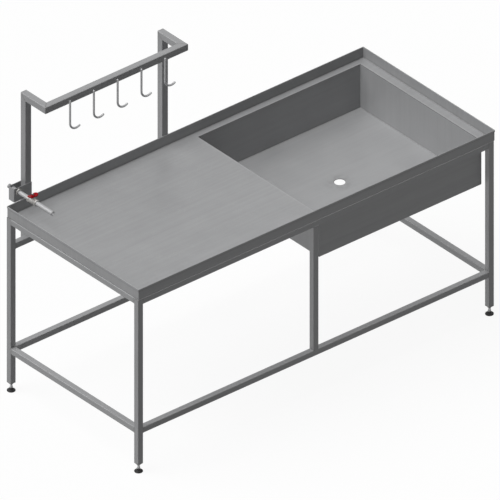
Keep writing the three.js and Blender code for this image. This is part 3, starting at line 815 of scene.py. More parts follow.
# %% Tube ends
# Turns that lay an upright shape along X or Y, or leave it along Z.
ALONG = [Matrix.Rotation(math.pi / 2, 4, "Y"), Matrix.Rotation(-math.pi / 2, 4, "X"), Matrix.Identity(4)]
SQUARE_CUT = (0, 0)
MITRES = {
    "hook_post_left": (SQUARE_CUT, (0, 1)),
    "hook_post_right": (SQUARE_CUT, (0, 1)),
    "hook_arm_left": ((1, 0), (0, -1)),
    "hook_arm_right": ((-1, 0), (0, -1)),
    "hook_crossbar": ((0, 1), (0, -1)),
}


def tube_of(node):
    """A tube's axis, half side, and the two ends of its middle line."""
    low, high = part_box(node)
    size = high - low
    axis = max((X, Y, Z), key=lambda i: size[i])
    half = min(size) / 2
    start, end = (low + high) / 2, (low + high) / 2
    start_slope, end_slope = MITRES.get(node, (SQUARE_CUT, SQUARE_CUT))
    start[axis] = low[axis] + half * max(map(abs, start_slope))
    end[axis] = high[axis] - half * max(map(abs, end_slope))
    return axis, half, start, end, start_slope, end_slope


def sloped(ring, slope):
    return [point + Vector((0, 0, slope[0] * point.x + slope[1] * point.y)) for point in ring]


def square_ring(half, radius, height, slope):
    return sloped(rounded(-half, half, -half, half, radius, height), slope)


print("mitred tubes:", len(MITRES))

# %% Tube welds
TUBE_WALL = 2 * MM
BEAD_SUNK = 0.8 * MM
GROUND_FLUSH = ("hook_post", "hook_arm", "hook_crossbar")
seams = []


def welds_round(node, length):
    """How far along a tube, and how far inside its faces, a weld runs round it."""
    if node.startswith(GROUND_FLUSH):
        return []
    if node.startswith("leg"):
        return [(0, TUBE_WALL)]
    return [(0, BEAD_SUNK), (length, BEAD_SUNK)]


print("ground flush:", *GROUND_FLUSH)

# %% Tubes
TUBE_CORNER = 3 * MM
DEBURR = 0.3 * MM
TUBE_STEMS = ("leg_front", "leg_back", "mid_post", "top_rail", "cross_rail", "stretcher", "hook_frame",
              "hook_post", "hook_arm", "hook_crossbar")
tube_nodes = [node for node in slot_of if node.startswith(TUBE_STEMS)]


def square_tube(node):
    """A hollow tube in a node's place, with its welded ends' outlines added to the seams."""
    axis, half, start, end, start_slope, end_slope = tube_of(node)
    length = (end - start).length
    inner = half - TUBE_WALL
    bore = TUBE_CORNER - TUBE_WALL
    rings = [
        square_ring(half - DEBURR, TUBE_CORNER - DEBURR, 0, start_slope),
        square_ring(half, TUBE_CORNER, DEBURR, start_slope),
        square_ring(half, TUBE_CORNER, length - DEBURR, end_slope),
        square_ring(half - DEBURR, TUBE_CORNER - DEBURR, length, end_slope),
        square_ring(inner, bore, length, end_slope),
        square_ring(inner, bore, 0, start_slope),
    ]
    place = Matrix.Translation(start) @ ALONG[axis]
    mesh = skin(rings, closed=True, place=place)
    if node.startswith("leg"):
        faces = (length - TUBE_WALL, length - DEBURR)
        cap = [square_ring(inner + DEBURR, bore, height, SQUARE_CUT) for height in faces]
        mesh = joined([mesh, skin(cap, place=place)])
    points = [place.inverted() @ vertex.co for vertex in mesh.vertices]
    from_start = [point.z - start_slope[0] * point.x - start_slope[1] * point.y for point in points]
    from_end = [length - point.z + end_slope[0] * point.x + end_slope[1] * point.y for point in points]
    for name, values in (("from_start", from_start), ("from_end", from_end)):
        mesh.attributes.new(name, "FLOAT", "POINT").data.foreach_set("value", values)
    for height, inset in welds_round(node, length):
        seam = square_ring(half - inset, max(TUBE_CORNER - inset, BEAD_SUNK), height, SQUARE_CUT)
        seams.append([place @ point for point in seam])
    keep(f"{node}_tube", mesh, tube_steel[axis], node)


for node in tube_nodes:
    square_tube(node)
print("tubes:", len(tube_nodes))

# %% [markdown]
# ## Welds
# A weld made by hand is a bead with small overlapping ripples, one for each drop of filler. A plain round
# bead would look like glue, and there are too many ripples to place one by one. The seams are already
# known as outlines, so Geometry Nodes walk along them at a fixed step and give them a round section. Over
# a few rings it shrinks and starts again, which makes one ripple, and each ripple is a little larger or
# smaller than the last by a fixed seed.

# %% Modelling tree helpers
FLOAT, INTEGER, VECTOR = "NodeSocketFloat", "NodeSocketInt", "NodeSocketVector"


def modelling_tree(name, sizes):
    """A Geometry Nodes tree with an input for each named size, and its inputs as wires."""
    group = bpy.data.node_groups.new(name, "GeometryNodeTree")
    group.interface.new_socket("Geometry", in_out="INPUT", socket_type="NodeSocketGeometry")
    for size, kind in sizes.items():
        group.interface.new_socket(size, in_out="INPUT", socket_type=kind)
    group.interface.new_socket("Geometry", in_out="OUTPUT", socket_type="NodeSocketGeometry")
    tree = Tree(group)
    sockets = tree.node("NodeGroupInput").socket.node.outputs
    given = {socket.name: Wire(tree, socket) for socket in sockets if socket.name}
    return group, tree, given


def end_tree(tree, geometry, material):
    """Makes the instances real, sets their material and ends the tree."""
    real = tree.node("GeometryNodeRealizeInstances", inputs={0: geometry})
    smooth = tree.node("GeometryNodeSetShadeSmooth", inputs={0: real})
    coated = tree.node("GeometryNodeSetMaterial", inputs={"Geometry": smooth, "Material": material})
    tree.node("NodeGroupOutput", inputs={0: coated})


def grown(group, values, mesh):
    """The plain mesh that a tree makes of a mesh and these values."""
    carrier = bpy.data.objects.new("carrier", mesh)
    bpy.context.scene.collection.objects.link(carrier)
    modifier = carrier.modifiers.new("tree", "NODES")
    modifier.node_group = group
    for item in group.interface.items_tree:
        if item.name in values:
            modifier[item.identifier] = values[item.name]
    made = plain_mesh(carrier)
    bpy.data.objects.remove(carrier)
    return made


print("modelling tree helpers ready")

# %% [markdown]
# ## Weld finish
# A weld is duller than the sheet beside it. Its skin is finely mottled, and the heat leaves it brownish
# in places. One fine noise gives the mottling with its relief and roughness, and a wide one the tint.

# %% Weld finish
MOTTLE_SCALE = 260
MOTTLE_DEPTH = 0.05 * MM
MOTTLE_ROUGHNESS = 0.2
TINT_SCALE = 22
TINT_MIDDLE = 0.1
TINT_SWING = 0.3
WELD_ROUGHNESS = 0.36


def weld_sockets(tree):
    place = place_on(tree)
    mottle = noise(tree, place, MOTTLE_SCALE, detail=3)
    tint = swung(TINT_MIDDLE, (TINT_SWING,), (noise(tree, place, TINT_SCALE, detail=2),))
    steel = tree.mix(mottle, STEEL_DARK, STEEL_LIGHT)
    return {
        "Base Color": tree.mix(tint, steel, HEAT_TINT),
        "Roughness": WELD_ROUGHNESS + MOTTLE_ROUGHNESS * mottle,
        "Metallic": STEEL_METALLIC,
        "Specular IOR Level": STEEL_SHEEN,
        "Normal": raised(tree, mottle, MOTTLE_DEPTH),
    }


weld_steel = material_of("welded_steel", weld_sockets)
print("weld finish made")

# %% Weld tree
BEAD_SIDES = 7
RINGS_PER_RIPPLE = 4
RIPPLE_LEAST = 0.88
RIPPLE_MOST = 1.08
# The Random Value node has a set of sockets for each kind of value. These are the ones for one number.
RANDOM_LEAST, RANDOM_MOST, RANDOM_RESULT = 2, 3, 1


def weld_tree():
    sizes = {"Bead radius": FLOAT, "Ring step": FLOAT, "Ripple depth": FLOAT, "Seed": INTEGER}
    group, tree, given = modelling_tree("welds_along_seams", sizes)
    curve = tree.node("GeometryNodeMeshToCurve", inputs={"Mesh": given["Geometry"]})
    settings = {"mode": "LENGTH"}
    walked = tree.node("GeometryNodeResampleCurve", settings, {"Curve": curve, "Length": given["Ring step"]})
    place = tree.node("GeometryNodeInputIndex") / RINGS_PER_RIPPLE
    ripple = place.through("FLOOR")
    inputs = {RANDOM_LEAST: RIPPLE_LEAST, RANDOM_MOST: RIPPLE_MOST, "ID": ripple, "Seed": given["Seed"]}
    uneven = tree.node("FunctionNodeRandomValue", {"data_type": "FLOAT"}, inputs, RANDOM_RESULT)
    size = uneven * (1 - given["Ripple depth"] * (place - ripple))
    inputs = {"Resolution": BEAD_SIDES, "Radius": given["Bead radius"]}
    section = tree.node("GeometryNodeCurvePrimitiveCircle", inputs=inputs)
    inputs = {"Curve": walked, "Profile Curve": section, "Scale": size, "Fill Caps": True}
    beads = tree.node("GeometryNodeCurveToMesh", inputs=inputs)
    end_tree(tree, beads, weld_steel)
    return group


weld_group = weld_tree()
print("weld tree nodes:", len(weld_group.nodes))

# %% Seams
HOOK_ROD = 10 * MM
HOOK_WELD_SHARES = (0.1, 0.9)
PLATE = 2.5 * MM
PLATE_WELD_SHORT = 1 * MM
HOOKS = 5
hook_nodes = [f"hook_{number + 1}" for number in range(HOOKS)]
hook_boxes = [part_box(node) for node in hook_nodes]
bar_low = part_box("hook_crossbar")[0]
bracket_low, bracket_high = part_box("tap_bracket")


def upright_seam(x, y, low, high):
    return [Vector((x, y, low)), Vector((x, y, high))]


def open_seams():
    """Seams that aren't all round a tube: hooks on the crossbar, and posts and bracket."""
    lines = []
    for low, high in hook_boxes:
        for share in HOOK_WELD_SHARES:
            x = low.x + share * HOOK_ROD
            lines.append(upright_seam(x, bar_low.y, bar_low.z + TUBE_CORNER, high.z))
    rail_low, rail_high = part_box("hook_frame_rail")
    for side in ("left", "right"):
        low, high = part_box(f"hook_post_{side}")
        for x in (low.x, high.x):
            lines.append(upright_seam(x, low.y, rail_low.z, rail_high.z))
            lines.append(upright_seam(x, low.y, work_high.z - HEM, work_high.z))
    x = bracket_high.x - BEAD_SUNK
    ends = bracket_low.z + PLATE_WELD_SHORT, bracket_high.z - PLATE_WELD_SHORT
    for y in (bracket_low.y + PLATE, bracket_high.y - PLATE):
        lines.append(upright_seam(x, y, *ends))
    return lines


print("seams round tubes:", len(seams), "open seams:", len(open_seams()))

# %% Welds
BEAD_RADIUS = 1.6 * MM
BEAD_STEP = 0.45 * MM
RIPPLE_DEPTH = 0.3
WELD_SEED = 3


def seam_mesh(loops, lines):
    """Edges along closed loops and open lines."""
    points, edges = [], []
    for closed, seam in [(True, loop) for loop in loops] + [(False, line) for line in lines]:
        first = len(points)
        points += seam
        edges += [(i, i + 1) for i in range(first, len(points) - 1)]
        if closed:
            edges.append((len(points) - 1, first))
    mesh = bpy.data.meshes.new("seams")
    mesh.from_pydata(points, edges, [])
    return mesh


def ride_along(name, mesh, body):
    """Keeps a piece that stands for no node of its own."""
    mesh.name = name
    piece = bpy.data.objects.new(name, mesh)
    bpy.context.scene.collection.objects.link(piece)
    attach(piece, body)
    print(name, "faces:", len(mesh.polygons))
    return piece


bead_values = {
    "Bead radius": BEAD_RADIUS,
    "Ring step": BEAD_STEP,
    "Ripple depth": RIPPLE_DEPTH,
    "Seed": WELD_SEED,
}
weld_mesh = grown(weld_group, bead_values, seam_mesh(seams, open_seams()))
ride_along("weld_beads", weld_mesh, "table")

# %% [markdown]
# ## Bright steel
# Drawn rod, pipe and turned parts are smoother than brushed sheet, so they are lighter and less rough.
# The finish takes the brushing's pattern, along the rod or pipe, and changes only its colours and
# roughness, so that both are plainly the same steel. The hooks' rod is polished and more metallic.

# %% Bright steel finish
BRIGHT_DARK = (0.34, 0.342, 0.348, 1)
BRIGHT_LIGHT = (0.58, 0.582, 0.588, 1)
BRIGHT_SWINGS = (0.5, 0.4)
BRIGHT_ROUGHNESS = 0.26
BRIGHT_LINE_ROUGHNESS = 0.2
ROD_METALLIC = 0.55


def bright_sockets(grain, metallic=STEEL_METALLIC):
    """Drawn and polished bar and pipe, lighter than the brushed sheet."""

    def build(tree):
        place = place_on(tree)
        lines, bands = brushing(tree, place, grain)
        sockets = steel_sockets(tree, place, lines, bands)
        shade = swung(NOISE_MIDDLE, BRIGHT_SWINGS, (lines, bands))
        sockets["Base Color"] = tree.mix(shade, BRIGHT_DARK, BRIGHT_LIGHT)
        sockets["Roughness"] = BRIGHT_ROUGHNESS + BRIGHT_LINE_ROUGHNESS * lines
        sockets["Metallic"] = metallic
        return sockets

    return build


rod_steel = material_of("polished_rod_steel", bright_sockets(Z, ROD_METALLIC))
print("bright steel finish made")

# %% [markdown]
# ## Hooks
# Five J hooks of round rod hang in a row, each welded to the crossbar's face by its top. A curve drawn by
# hand would do for one size of hook. But a hook follows a rule: straight down the shank, then round the
# bend by an angle. So Geometry Nodes place the points of one line by that rule, close together near its
# ends, where the rod is turned to a dome. The line takes a round section, and the hook repeats along the
# bar.

# %% Hook tree
HOOK_BEND = 36 * MM
HOOK_SWEEP = math.radians(130)
HOOK_POINTS = 96
HOOK_SIDES = 20
LEAST_DOME = 0.0004


def hook_tree():
    sizes = {"Rod radius": FLOAT, "Bend radius": FLOAT, "Shank": FLOAT, "Sweep": FLOAT, "Pitch": FLOAT,
             "Count": INTEGER, "Top": VECTOR}
    group, tree, given = modelling_tree("row_of_hooks", sizes)
    shank, bend = given["Shank"], given["Bend radius"]
    length = shank + bend * given["Sweep"]
    share = tree.node("GeometryNodeInputIndex") / (HOOK_POINTS - 1)
    along = length * (1 - (share * math.pi).through("COSINE")) / 2
    turn = (along - shank).most(0) / bend
    across = bend * (1 - turn.through("COSINE"))
    down = along.least(shank) + bend * turn.through("SINE")
    place = tree.node("ShaderNodeCombineXYZ", inputs={0: across, 1: 0.0, 2: 0 - down})
    line = tree.node("GeometryNodeMeshLine", inputs={"Count": HOOK_POINTS})
    bent = tree.node("GeometryNodeSetPosition", inputs={"Geometry": line, "Position": place})
    curve = tree.node("GeometryNodeMeshToCurve", inputs={"Mesh": bent})
    to_end = 1 - (along.least(length - along) / given["Rod radius"]).least(1)
    size = (1 - to_end * to_end).most(LEAST_DOME).through("SQRT")
    inputs = {"Resolution": HOOK_SIDES, "Radius": given["Rod radius"]}
    section = tree.node("GeometryNodeCurvePrimitiveCircle", inputs=inputs)
    inputs = {"Curve": curve, "Profile Curve": section, "Scale": size, "Fill Caps": True}
    hook = tree.node("GeometryNodeCurveToMesh", inputs=inputs)
    step = tree.node("ShaderNodeCombineXYZ", inputs={0: given["Pitch"]})
    inputs = {"Count": given["Count"], "Start Location": given["Top"], "Offset": step}
    row = tree.node("GeometryNodeMeshLine", inputs=inputs)
    hooks = tree.node("GeometryNodeInstanceOnPoints", inputs={"Points": row, "Instance": hook})
    end_tree(tree, hooks, rod_steel)
    return group


hook_group = hook_tree()
print("hook tree nodes:", len(hook_group.nodes))

# %% Hooks
hook_low, hook_high = hook_boxes[0]
hook_top = Vector((hook_low.x + HOOK_ROD / 2, hook_low.y + HOOK_ROD / 2, hook_high.z))
hook_values = {
    "Rod radius": HOOK_ROD / 2,
    "Bend radius": HOOK_BEND,
    "Shank": hook_high.z - hook_low.z - HOOK_BEND - HOOK_ROD / 2,
    "Sweep": HOOK_SWEEP,
    "Pitch": hook_boxes[1][0].x - hook_low.x,
    "Count": len(hook_boxes),
    "Top": hook_top,
}
hook_mesh = grown(hook_group, hook_values, bpy.data.meshes.new("nothing"))
keep("hook_row", hook_mesh, rod_steel, *hook_nodes)

# %% [markdown]
# ## Tap bracket
# A strip of plate is folded round the left post and drilled for the inlet pipe, so that both its sides
# hold the pipe. Rings can follow the fold or go round the holes, but not both. So the folded outline is
# stretched upwards, a boolean drills both sides at once, and a small bevel breaks the cut edges.

# %% Bracket outline
PLATE_BEND = 2.5 * MM


def bracket_outline():
    """The folded strip from above: round the outside of both bends, and back inside them."""
    left = bracket_low.x + PLATE + PLATE_BEND
    front = bracket_low.y + PLATE + PLATE_BEND
    back = bracket_high.y - PLATE - PLATE_BEND
    outside = arc(left, back, PLATE + PLATE_BEND, 90, 180, BEND_STEPS)
    outside += arc(left, front, PLATE + PLATE_BEND, 180, 270, BEND_STEPS)
    inside = arc(left, front, PLATE_BEND, 270, 180, BEND_STEPS)
    inside += arc(left, back, PLATE_BEND, 180, 90, BEND_STEPS)
    right = bracket_high.x
    ends = [(right, bracket_low.y), (right, bracket_low.y + PLATE)]
    return outside + ends + inside + [(right, bracket_high.y - PLATE), (right, bracket_high.y)]


print("bracket outline:", len(bracket_outline()), "points")

# %% Bracket
PLATE_BEVEL = 0.35 * MM
BEVEL_ANGLE = math.radians(40)
DRILL_GAP = 0.3 * MM
inlet_low, inlet_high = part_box("inlet_pipe")
PIPE_RADIUS = (inlet_high.x - inlet_low.x) / 2
PIPE_X = (inlet_high.x + inlet_low.x) / 2
PIPE_Z = (inlet_high.z + inlet_low.z) / 2


def plate_sockets(tree):
    place = place_on(tree)
    lines, bands = brushing(tree, place, X)
    return steel_sockets(tree, place, lines, bands)


def bracket_mesh():
    outline = bracket_outline()
    heights = (bracket_low.z, bracket_high.z)
    body = skin([[Vector((x, y, height)) for x, y in outline] for height in heights])
    place = Matrix.Translation((PIPE_X, 0, PIPE_Z)) @ ALONG[Y]
    drill_ends = (bracket_low.y - PLATE, bracket_high.y + PLATE)
    drill = skin([circle(PIPE_RADIUS + DRILL_GAP, y) for y in drill_ends], place=place)
    strip, cutter = [bpy.data.objects.new("strip", body), bpy.data.objects.new("drill", drill)]
    for made in (strip, cutter):
        bpy.context.scene.collection.objects.link(made)
    holes = strip.modifiers.new("holes", "BOOLEAN")
    holes.object = cutter
    holes.solver = "EXACT"
    bevel = strip.modifiers.new("edges", "BEVEL")
    bevel.width = PLATE_BEVEL
    bevel.segments = 2
    bevel.limit_method = "ANGLE"
    bevel.angle_limit = BEVEL_ANGLE
    mesh = plain_mesh(strip)
    bpy.data.objects.remove(strip)
    bpy.data.objects.remove(cutter)
    return mesh


plate_steel = material_of("brushed_plate_steel", plate_sockets)
keep("tap_bracket_plate", bracket_mesh(), plate_steel, "tap_bracket")

# %% [markdown]
# ## Pipes with threads
# The inlet is a length of half inch pipe with a thread at its outer end, on which two lock nuts clamp the
# bracket. The spout is the same pipe, plain. Bump could draw a thread, but its outline would stay smooth.
# The real one is a groove that climbs once round per pitch, so each ring's radius goes in and out with
# its angle, and each ring starts a little further round than the last.

# %% Threads
RINGS_PER_PITCH = 6
THREAD_FLANK = 2.4
THREAD_FLAT = 0.1


def thread_rings(radius, depth, pitch, low, high):
    """Rings of a thread between two heights, which runs out at both."""

    def radius_at(height):
        fade = max(0.0, min(1.0, (height - low) / pitch, (high - height) / pitch))

        def at(angle):
            phase = (height / pitch - angle / (2 * math.pi)) % 1
            groove = THREAD_FLANK * abs(phase - 0.5) - THREAD_FLAT
            return radius - depth * fade * min(1.0, max(0.0, groove))

        return at

    count = round((high - low) / pitch * RINGS_PER_PITCH)
    heights = [low + (high - low) * i / count for i in range(count + 1)]
    return [polar(radius_at(height), lambda angle, height=height: height) for height in heights]


print("rings per turn of a thread:", RINGS_PER_PITCH)

# %% Pipes
PIPE_BORE = 8 * MM
PIPE_CHAMFER = 1 * MM
PIPE_PITCH = 1.814 * MM
PIPE_THREAD_DEPTH = 0.9 * MM
PIPE_THREAD_LENGTH = 84 * MM
pipe_steel = material_of("bright_pipe_steel", bright_sockets(Y))


def pipe(name, node, thread=0.0):
    """A pipe along Y in a node's place, with a thread of this length at its back end."""
    low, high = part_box(node)
    start, end = low.y, high.y
    outside = [circle(PIPE_RADIUS - PIPE_CHAMFER, start), circle(PIPE_RADIUS, start + PIPE_CHAMFER)]
    if thread:
        outside += thread_rings(PIPE_RADIUS, PIPE_THREAD_DEPTH, PIPE_PITCH, end - thread, end - PIPE_CHAMFER)
    else:
        outside.append(circle(PIPE_RADIUS, end - PIPE_CHAMFER))
    outside.append(circle(PIPE_RADIUS - PIPE_CHAMFER, end))
    bore = [circle(PIPE_BORE + EDGE, end), circle(PIPE_BORE, end - EDGE)]
    bore += [circle(PIPE_BORE, start + EDGE), circle(PIPE_BORE + EDGE, start)]
    place = Matrix.Translation((PIPE_X, 0, PIPE_Z)) @ ALONG[Y]
    keep(name, skin(outside + bore, closed=True, place=place), pipe_steel, node)


pipe("inlet_pipe_threaded", "inlet_pipe", PIPE_THREAD_LENGTH)
pipe("spout_pipe_plain", "spout_pipe")

# %% [markdown]
# ## Nuts and hexagons
# A nut is a hexagon whose corners are turned off by a cone, which leaves a round face and a curved edge on
# each flat. A boolean between a hexagon and a cone could do it, but the rule behind it is short: the
# outline drops by the cone's slope as far as it stands outside the round face. The same rings give the
# lock nuts, the valve's ends and the wrench flats on the feet.

# %% Hexagons
CONE_SLOPE = math.tan(math.radians(30))
FACE_SHARE = 0.96
NUT_CHAMFER_SHARE = 0.06
NUT_GAP = 0.1 * MM


def hexagon(flats, face, way):
    """A hexagon's outline below (way 1) or above (way -1) the end face at this height."""

    def radius_at(angle):
        third = math.pi / 3
        return flats / 2 / math.cos((angle + third / 2) % third - third / 2)

    def height_at(angle):
        return face + way * CONE_SLOPE * (radius_at(angle) - FACE_SHARE * flats / 2)

    return polar(radius_at, height_at)


def hexagon_rings(flats, low, high):
    """The outside of a hexagon between two faces."""
    ends = circle(FACE_SHARE * flats / 2, low), circle(FACE_SHARE * flats / 2, high)
    return [ends[0], hexagon(flats, low, 1), hexagon(flats, high, -1), ends[1]]


def nut_mesh(flats, low, high, bore, place):
    chamfer = NUT_CHAMFER_SHARE * flats
    inside = [circle(bore + chamfer, high), circle(bore, high - chamfer)]
    inside += [circle(bore, low + chamfer), circle(bore + chamfer, low)]
    return skin(hexagon_rings(flats, low, high) + inside, closed=True, place=place)


print("hexagon helpers ready")

# %% [markdown]
# ## Plated brass
# The valve and the pipe's nuts are brass with a thin plating of nickel: a warm grey, clouded by handling,
# over the fine grit of the casting. A wide noise gives the clouds and a very fine one the grit.

# %% Plated brass
BRASS_DARK = (0.29, 0.285, 0.274, 1)
BRASS_LIGHT = (0.47, 0.463, 0.448, 1)
BRASS_METALLIC = 0.35
BRASS_ROUGHNESS, CLOUD_ROUGHNESS, GRIT_ROUGHNESS = 0.24, 0.2, 0.08
CLOUD_SCALE = 40
GRIT_SCALE = 900
GRIT_DEPTH = 0.03 * MM


def brass_sockets(tree):
    place = place_on(tree)
    cloud = noise(tree, place, CLOUD_SCALE, detail=3)
    grit = noise(tree, place, GRIT_SCALE, detail=2)
    return {
        "Base Color": tree.mix(cloud, BRASS_DARK, BRASS_LIGHT),
        "Roughness": BRASS_ROUGHNESS + CLOUD_ROUGHNESS * cloud + GRIT_ROUGHNESS * grit,
        "Metallic": BRASS_METALLIC,
        "Normal": raised(tree, grit, GRIT_DEPTH),
    }


plated_brass = material_of("nickel_plated_brass", brass_sockets)
print("plated brass made")


# %% Lock nuts of the pipe
def nut(name, node, material, axis, clearance, bore):
    """A nut in a node's place, its corners along the wider of its two sides."""
    low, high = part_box(node)
    middle = (low + high) / 2
    half = (high[axis] - low[axis]) / 2
    flats = high.x - low.x
    place = Matrix.Translation(middle) @ ALONG[axis]
    keep(name, nut_mesh(flats, -half, half, bore + clearance, place), material, node)


for side in ("front", "back"):
    nut(f"pipe_nut_{side}", f"pipe_lock_nut_{side}", plated_brass, Y, NUT_GAP, PIPE_RADIUS)

# %% [markdown]
# ## Ball valve
# The body is a brass casting with a hexagon at each end for the wrench, a round barrel over the ball and a
# boss on top for the stem. It is one row of rings along the pipe, hexagons first and last, with the ball's
# chamber inside, and a second short row for the boss, which starts inside the barrel's wall. A boolean
# could join the two rows, but nothing more of them would show.

# %% Valve sizes
body_low, body_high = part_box("valve_body")
VALVE_Y = (body_low.y + body_high.y) / 2
VALVE_HALF = (body_high.y - body_low.y) / 2
VALVE_FLATS = 28 * MM
VALVE_HEX = 14 * MM
VALVE_BARREL = 15.5 * MM
VALVE_SOCKET = 13 * MM
VALVE_CHANNEL = 7 * MM
VALVE_CHAMBER = 12 * MM
CHAMBER_HALF = 13 * MM
CHAMBER_TAPER = 2 * MM
BARREL_GAP = 0.4 * MM
BARREL_ROUND = 2 * MM
BARREL_ROUND_MIDDLE = 0.3 * BARREL_ROUND
SOCKET_GAP = 0.2 * MM
BOSS_RADIUS = 9 * MM
BOSS_FOOT = BOSS_RADIUS + 1.5 * MM
BOSS_STEP = (BOSS_RADIUS + 0.5 * MM, 3 * MM)
BOSS_NECK = 2 * MM
STEM_HOLE = 4.3 * MM
valve_place = Matrix.Translation((PIPE_X, VALVE_Y, PIPE_Z))
print("valve body", round(2 * VALVE_HALF / MM), "mm long")


# %% Valve body
def valve_mesh():
    hex_end = VALVE_HALF - VALVE_HEX
    front = hexagon_rings(VALVE_FLATS, -VALVE_HALF, -hex_end)
    back = hexagon_rings(VALVE_FLATS, hex_end, VALVE_HALF)
    barrel_end = hex_end - BARREL_GAP
    shoulder = [(VALVE_BARREL - BARREL_ROUND, barrel_end)]
    shoulder += [(VALVE_BARREL - BARREL_ROUND_MIDDLE, barrel_end - BARREL_ROUND_MIDDLE)]
    shoulder += [(VALVE_BARREL, barrel_end - BARREL_ROUND)]
    barrel = [circle(radius, -along) for radius, along in shoulder]
    barrel += [circle(radius, along) for radius, along in reversed(shoulder)]
    socket = PIPE_RADIUS + SOCKET_GAP
    socket_end = VALVE_HALF - VALVE_SOCKET
    hollow = [(socket, VALVE_HALF), (socket, socket_end), (VALVE_CHANNEL, socket_end)]
    hollow += [(VALVE_CHANNEL, CHAMBER_HALF), (VALVE_CHAMBER, CHAMBER_HALF - CHAMBER_TAPER)]
    inside = [circle(radius, along) for radius, along in hollow]
    inside += [circle(radius, -along) for radius, along in reversed(hollow)]
    pipe_way = skin(front + barrel + back + inside, closed=True, place=valve_place @ ALONG[Y])
    boss_top = body_high.z - PIPE_Z
    step_radius, step_drop = BOSS_STEP
    outline = [(BOSS_FOOT, VALVE_CHAMBER), (step_radius, boss_top - step_drop)]
    outline += [(BOSS_RADIUS, boss_top - BOSS_NECK), (BOSS_RADIUS, boss_top - EDGE)]
    outline += [(BOSS_RADIUS - EDGE, boss_top)]
    outline += [(STEM_HOLE + EDGE, boss_top), (STEM_HOLE, boss_top - EDGE), (STEM_HOLE, VALVE_CHAMBER)]
    boss = skin([circle(radius, height) for radius, height in outline], closed=True, place=valve_place)
    return joined([pipe_way, boss])


keep("valve_casting", valve_mesh(), plated_brass, "valve_body")
nut("stem_gland_nut", "gland_nut", plated_brass, Z, 0.0, STEM_HOLE)

# %% [markdown]
# ## Butterfly handle
# A strip of steel is pressed to a gull's wing with round tips and dipped in red coating, which rounds its
# edges. It could be sculpted from a plate, but a rule is easier to change. It is lofted across its span:
# at each place a rule gives the strip's half width and its rise, and the section there is a rectangle
# with round corners. A hub carries it on the stem, and a blackened nut holds it there.

# %% Handle sizes
handle_low, handle_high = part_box("valve_handle")
HANDLE_SPAN = (handle_high.x - handle_low.x) / 2
HANDLE_HALF = (handle_high.y - handle_low.y) / 2
HANDLE_STRIP = 4 * MM
HANDLE_HUB = 9 * MM
HANDLE_HUB_HEIGHT = 8 * MM
HANDLE_WAIST = 3.5 * MM
HANDLE_ROUND = 1.4 * MM
HANDLE_PLACES = 48
HANDLE_EYE = 3.1 * MM
HANDLE_RISE = handle_high.z - handle_low.z - HANDLE_STRIP
LEAST_WIDTH_SHARE = 0.05
CORNER_SHARE = 0.9
RISE_SOFTNESS = 0.01
print("handle", round(2 * HANDLE_SPAN / MM), "x", round(2 * HANDLE_HALF / MM), "mm")

# %% [markdown]
# ## Red coating
# A dipped coating is thick and fairly glossy, with the slight dimples of orange peel, and it dulls where
# fingers press. A fine noise raises the dimples, and a wider one moves between bright and worn red.

# %% Red coating
RED_BRIGHT = (0.32, 0.003, 0.007, 1)
RED_WORN = (0.24, 0.004, 0.009, 1)
RED_ROUGHNESS = 0.3
WEAR_ROUGHNESS = 0.25
RED_SHEEN = 0.12
RED_COAT = 0.08
PEEL_SCALE = 420
PEEL_DEPTH = 0.08 * MM
WEAR_SCALE = 60


def red_sockets(tree):
    place = place_on(tree)
    peel = noise(tree, place, PEEL_SCALE, detail=2)
    wear = noise(tree, place, WEAR_SCALE, detail=4)
    return {
        "Base Color": tree.mix(wear, RED_BRIGHT, RED_WORN),
        "Roughness": RED_ROUGHNESS + WEAR_ROUGHNESS * wear,
        "Specular IOR Level": RED_SHEEN,
        "Coat Weight": RED_COAT,
        "Normal": raised(tree, peel, PEEL_DEPTH),
    }


red_coating = material_of("red_dipped_coating", red_sockets)
print("red coating made")


# %% Handle
def half_width(x):
    """Half the strip's width: round tips, drawn in between them."""
    tip = HANDLE_SPAN - HANDLE_HALF
    if abs(x) > tip:
        round_tip = math.sqrt(max(0.0, HANDLE_HALF**2 - (abs(x) - tip) ** 2))
        return max(LEAST_WIDTH_SHARE * HANDLE_HALF, round_tip)
    return HANDLE_HALF - HANDLE_WAIST * (1 - (x / tip) ** 2)


def rise(x):
    """How far the strip's underside stands above the hub's lower face."""
    share = (abs(x) - HANDLE_HUB) / (HANDLE_SPAN - HANDLE_HUB)
    return HANDLE_RISE * min(1.0, (share + math.sqrt(share**2 + RISE_SOFTNESS)) / 2)


def handle_mesh():
    rings = []
    for i in range(HANDLE_PLACES + 1):
        x = HANDLE_SPAN * math.sin(math.pi * (i / HANDLE_PLACES - 0.5))
        half = half_width(x)
        corner = min(HANDLE_ROUND, CORNER_SHARE * half)
        section = rounded(-half, half, rise(x), rise(x) + HANDLE_STRIP, corner, 0)
        rings.append([Vector((x, point.x, point.y)) for point in section])
    place = Matrix.Translation((PIPE_X, VALVE_Y, handle_low.z))
    wings = skin(rings, place=place)
    outline = [(HANDLE_HUB - HANDLE_ROUND, 0), (HANDLE_HUB, HANDLE_ROUND)]
    edge_middle = (HANDLE_HUB - HANDLE_ROUND, HANDLE_HUB_HEIGHT - HANDLE_ROUND)
    outline += arc(*edge_middle, HANDLE_ROUND, 0, 90, SMALL_STEPS)
    outline += [(HANDLE_EYE + EDGE, HANDLE_HUB_HEIGHT), (HANDLE_EYE, HANDLE_HUB_HEIGHT - EDGE)]
    outline += [(HANDLE_EYE, EDGE), (HANDLE_EYE + EDGE, 0)]
    hub = skin([circle(radius, height) for radius, height in outline], closed=True, place=place)
    return joined([wings, hub])


keep("butterfly_handle", handle_mesh(), red_coating, "valve_handle")

# %% [markdown]
# ## Blackened nut
# The nut on the stem is blackened steel, a dark skin of oxide with a greyish bloom. One noise gives the
# bloom, and with it the changes in roughness and a faint relief.

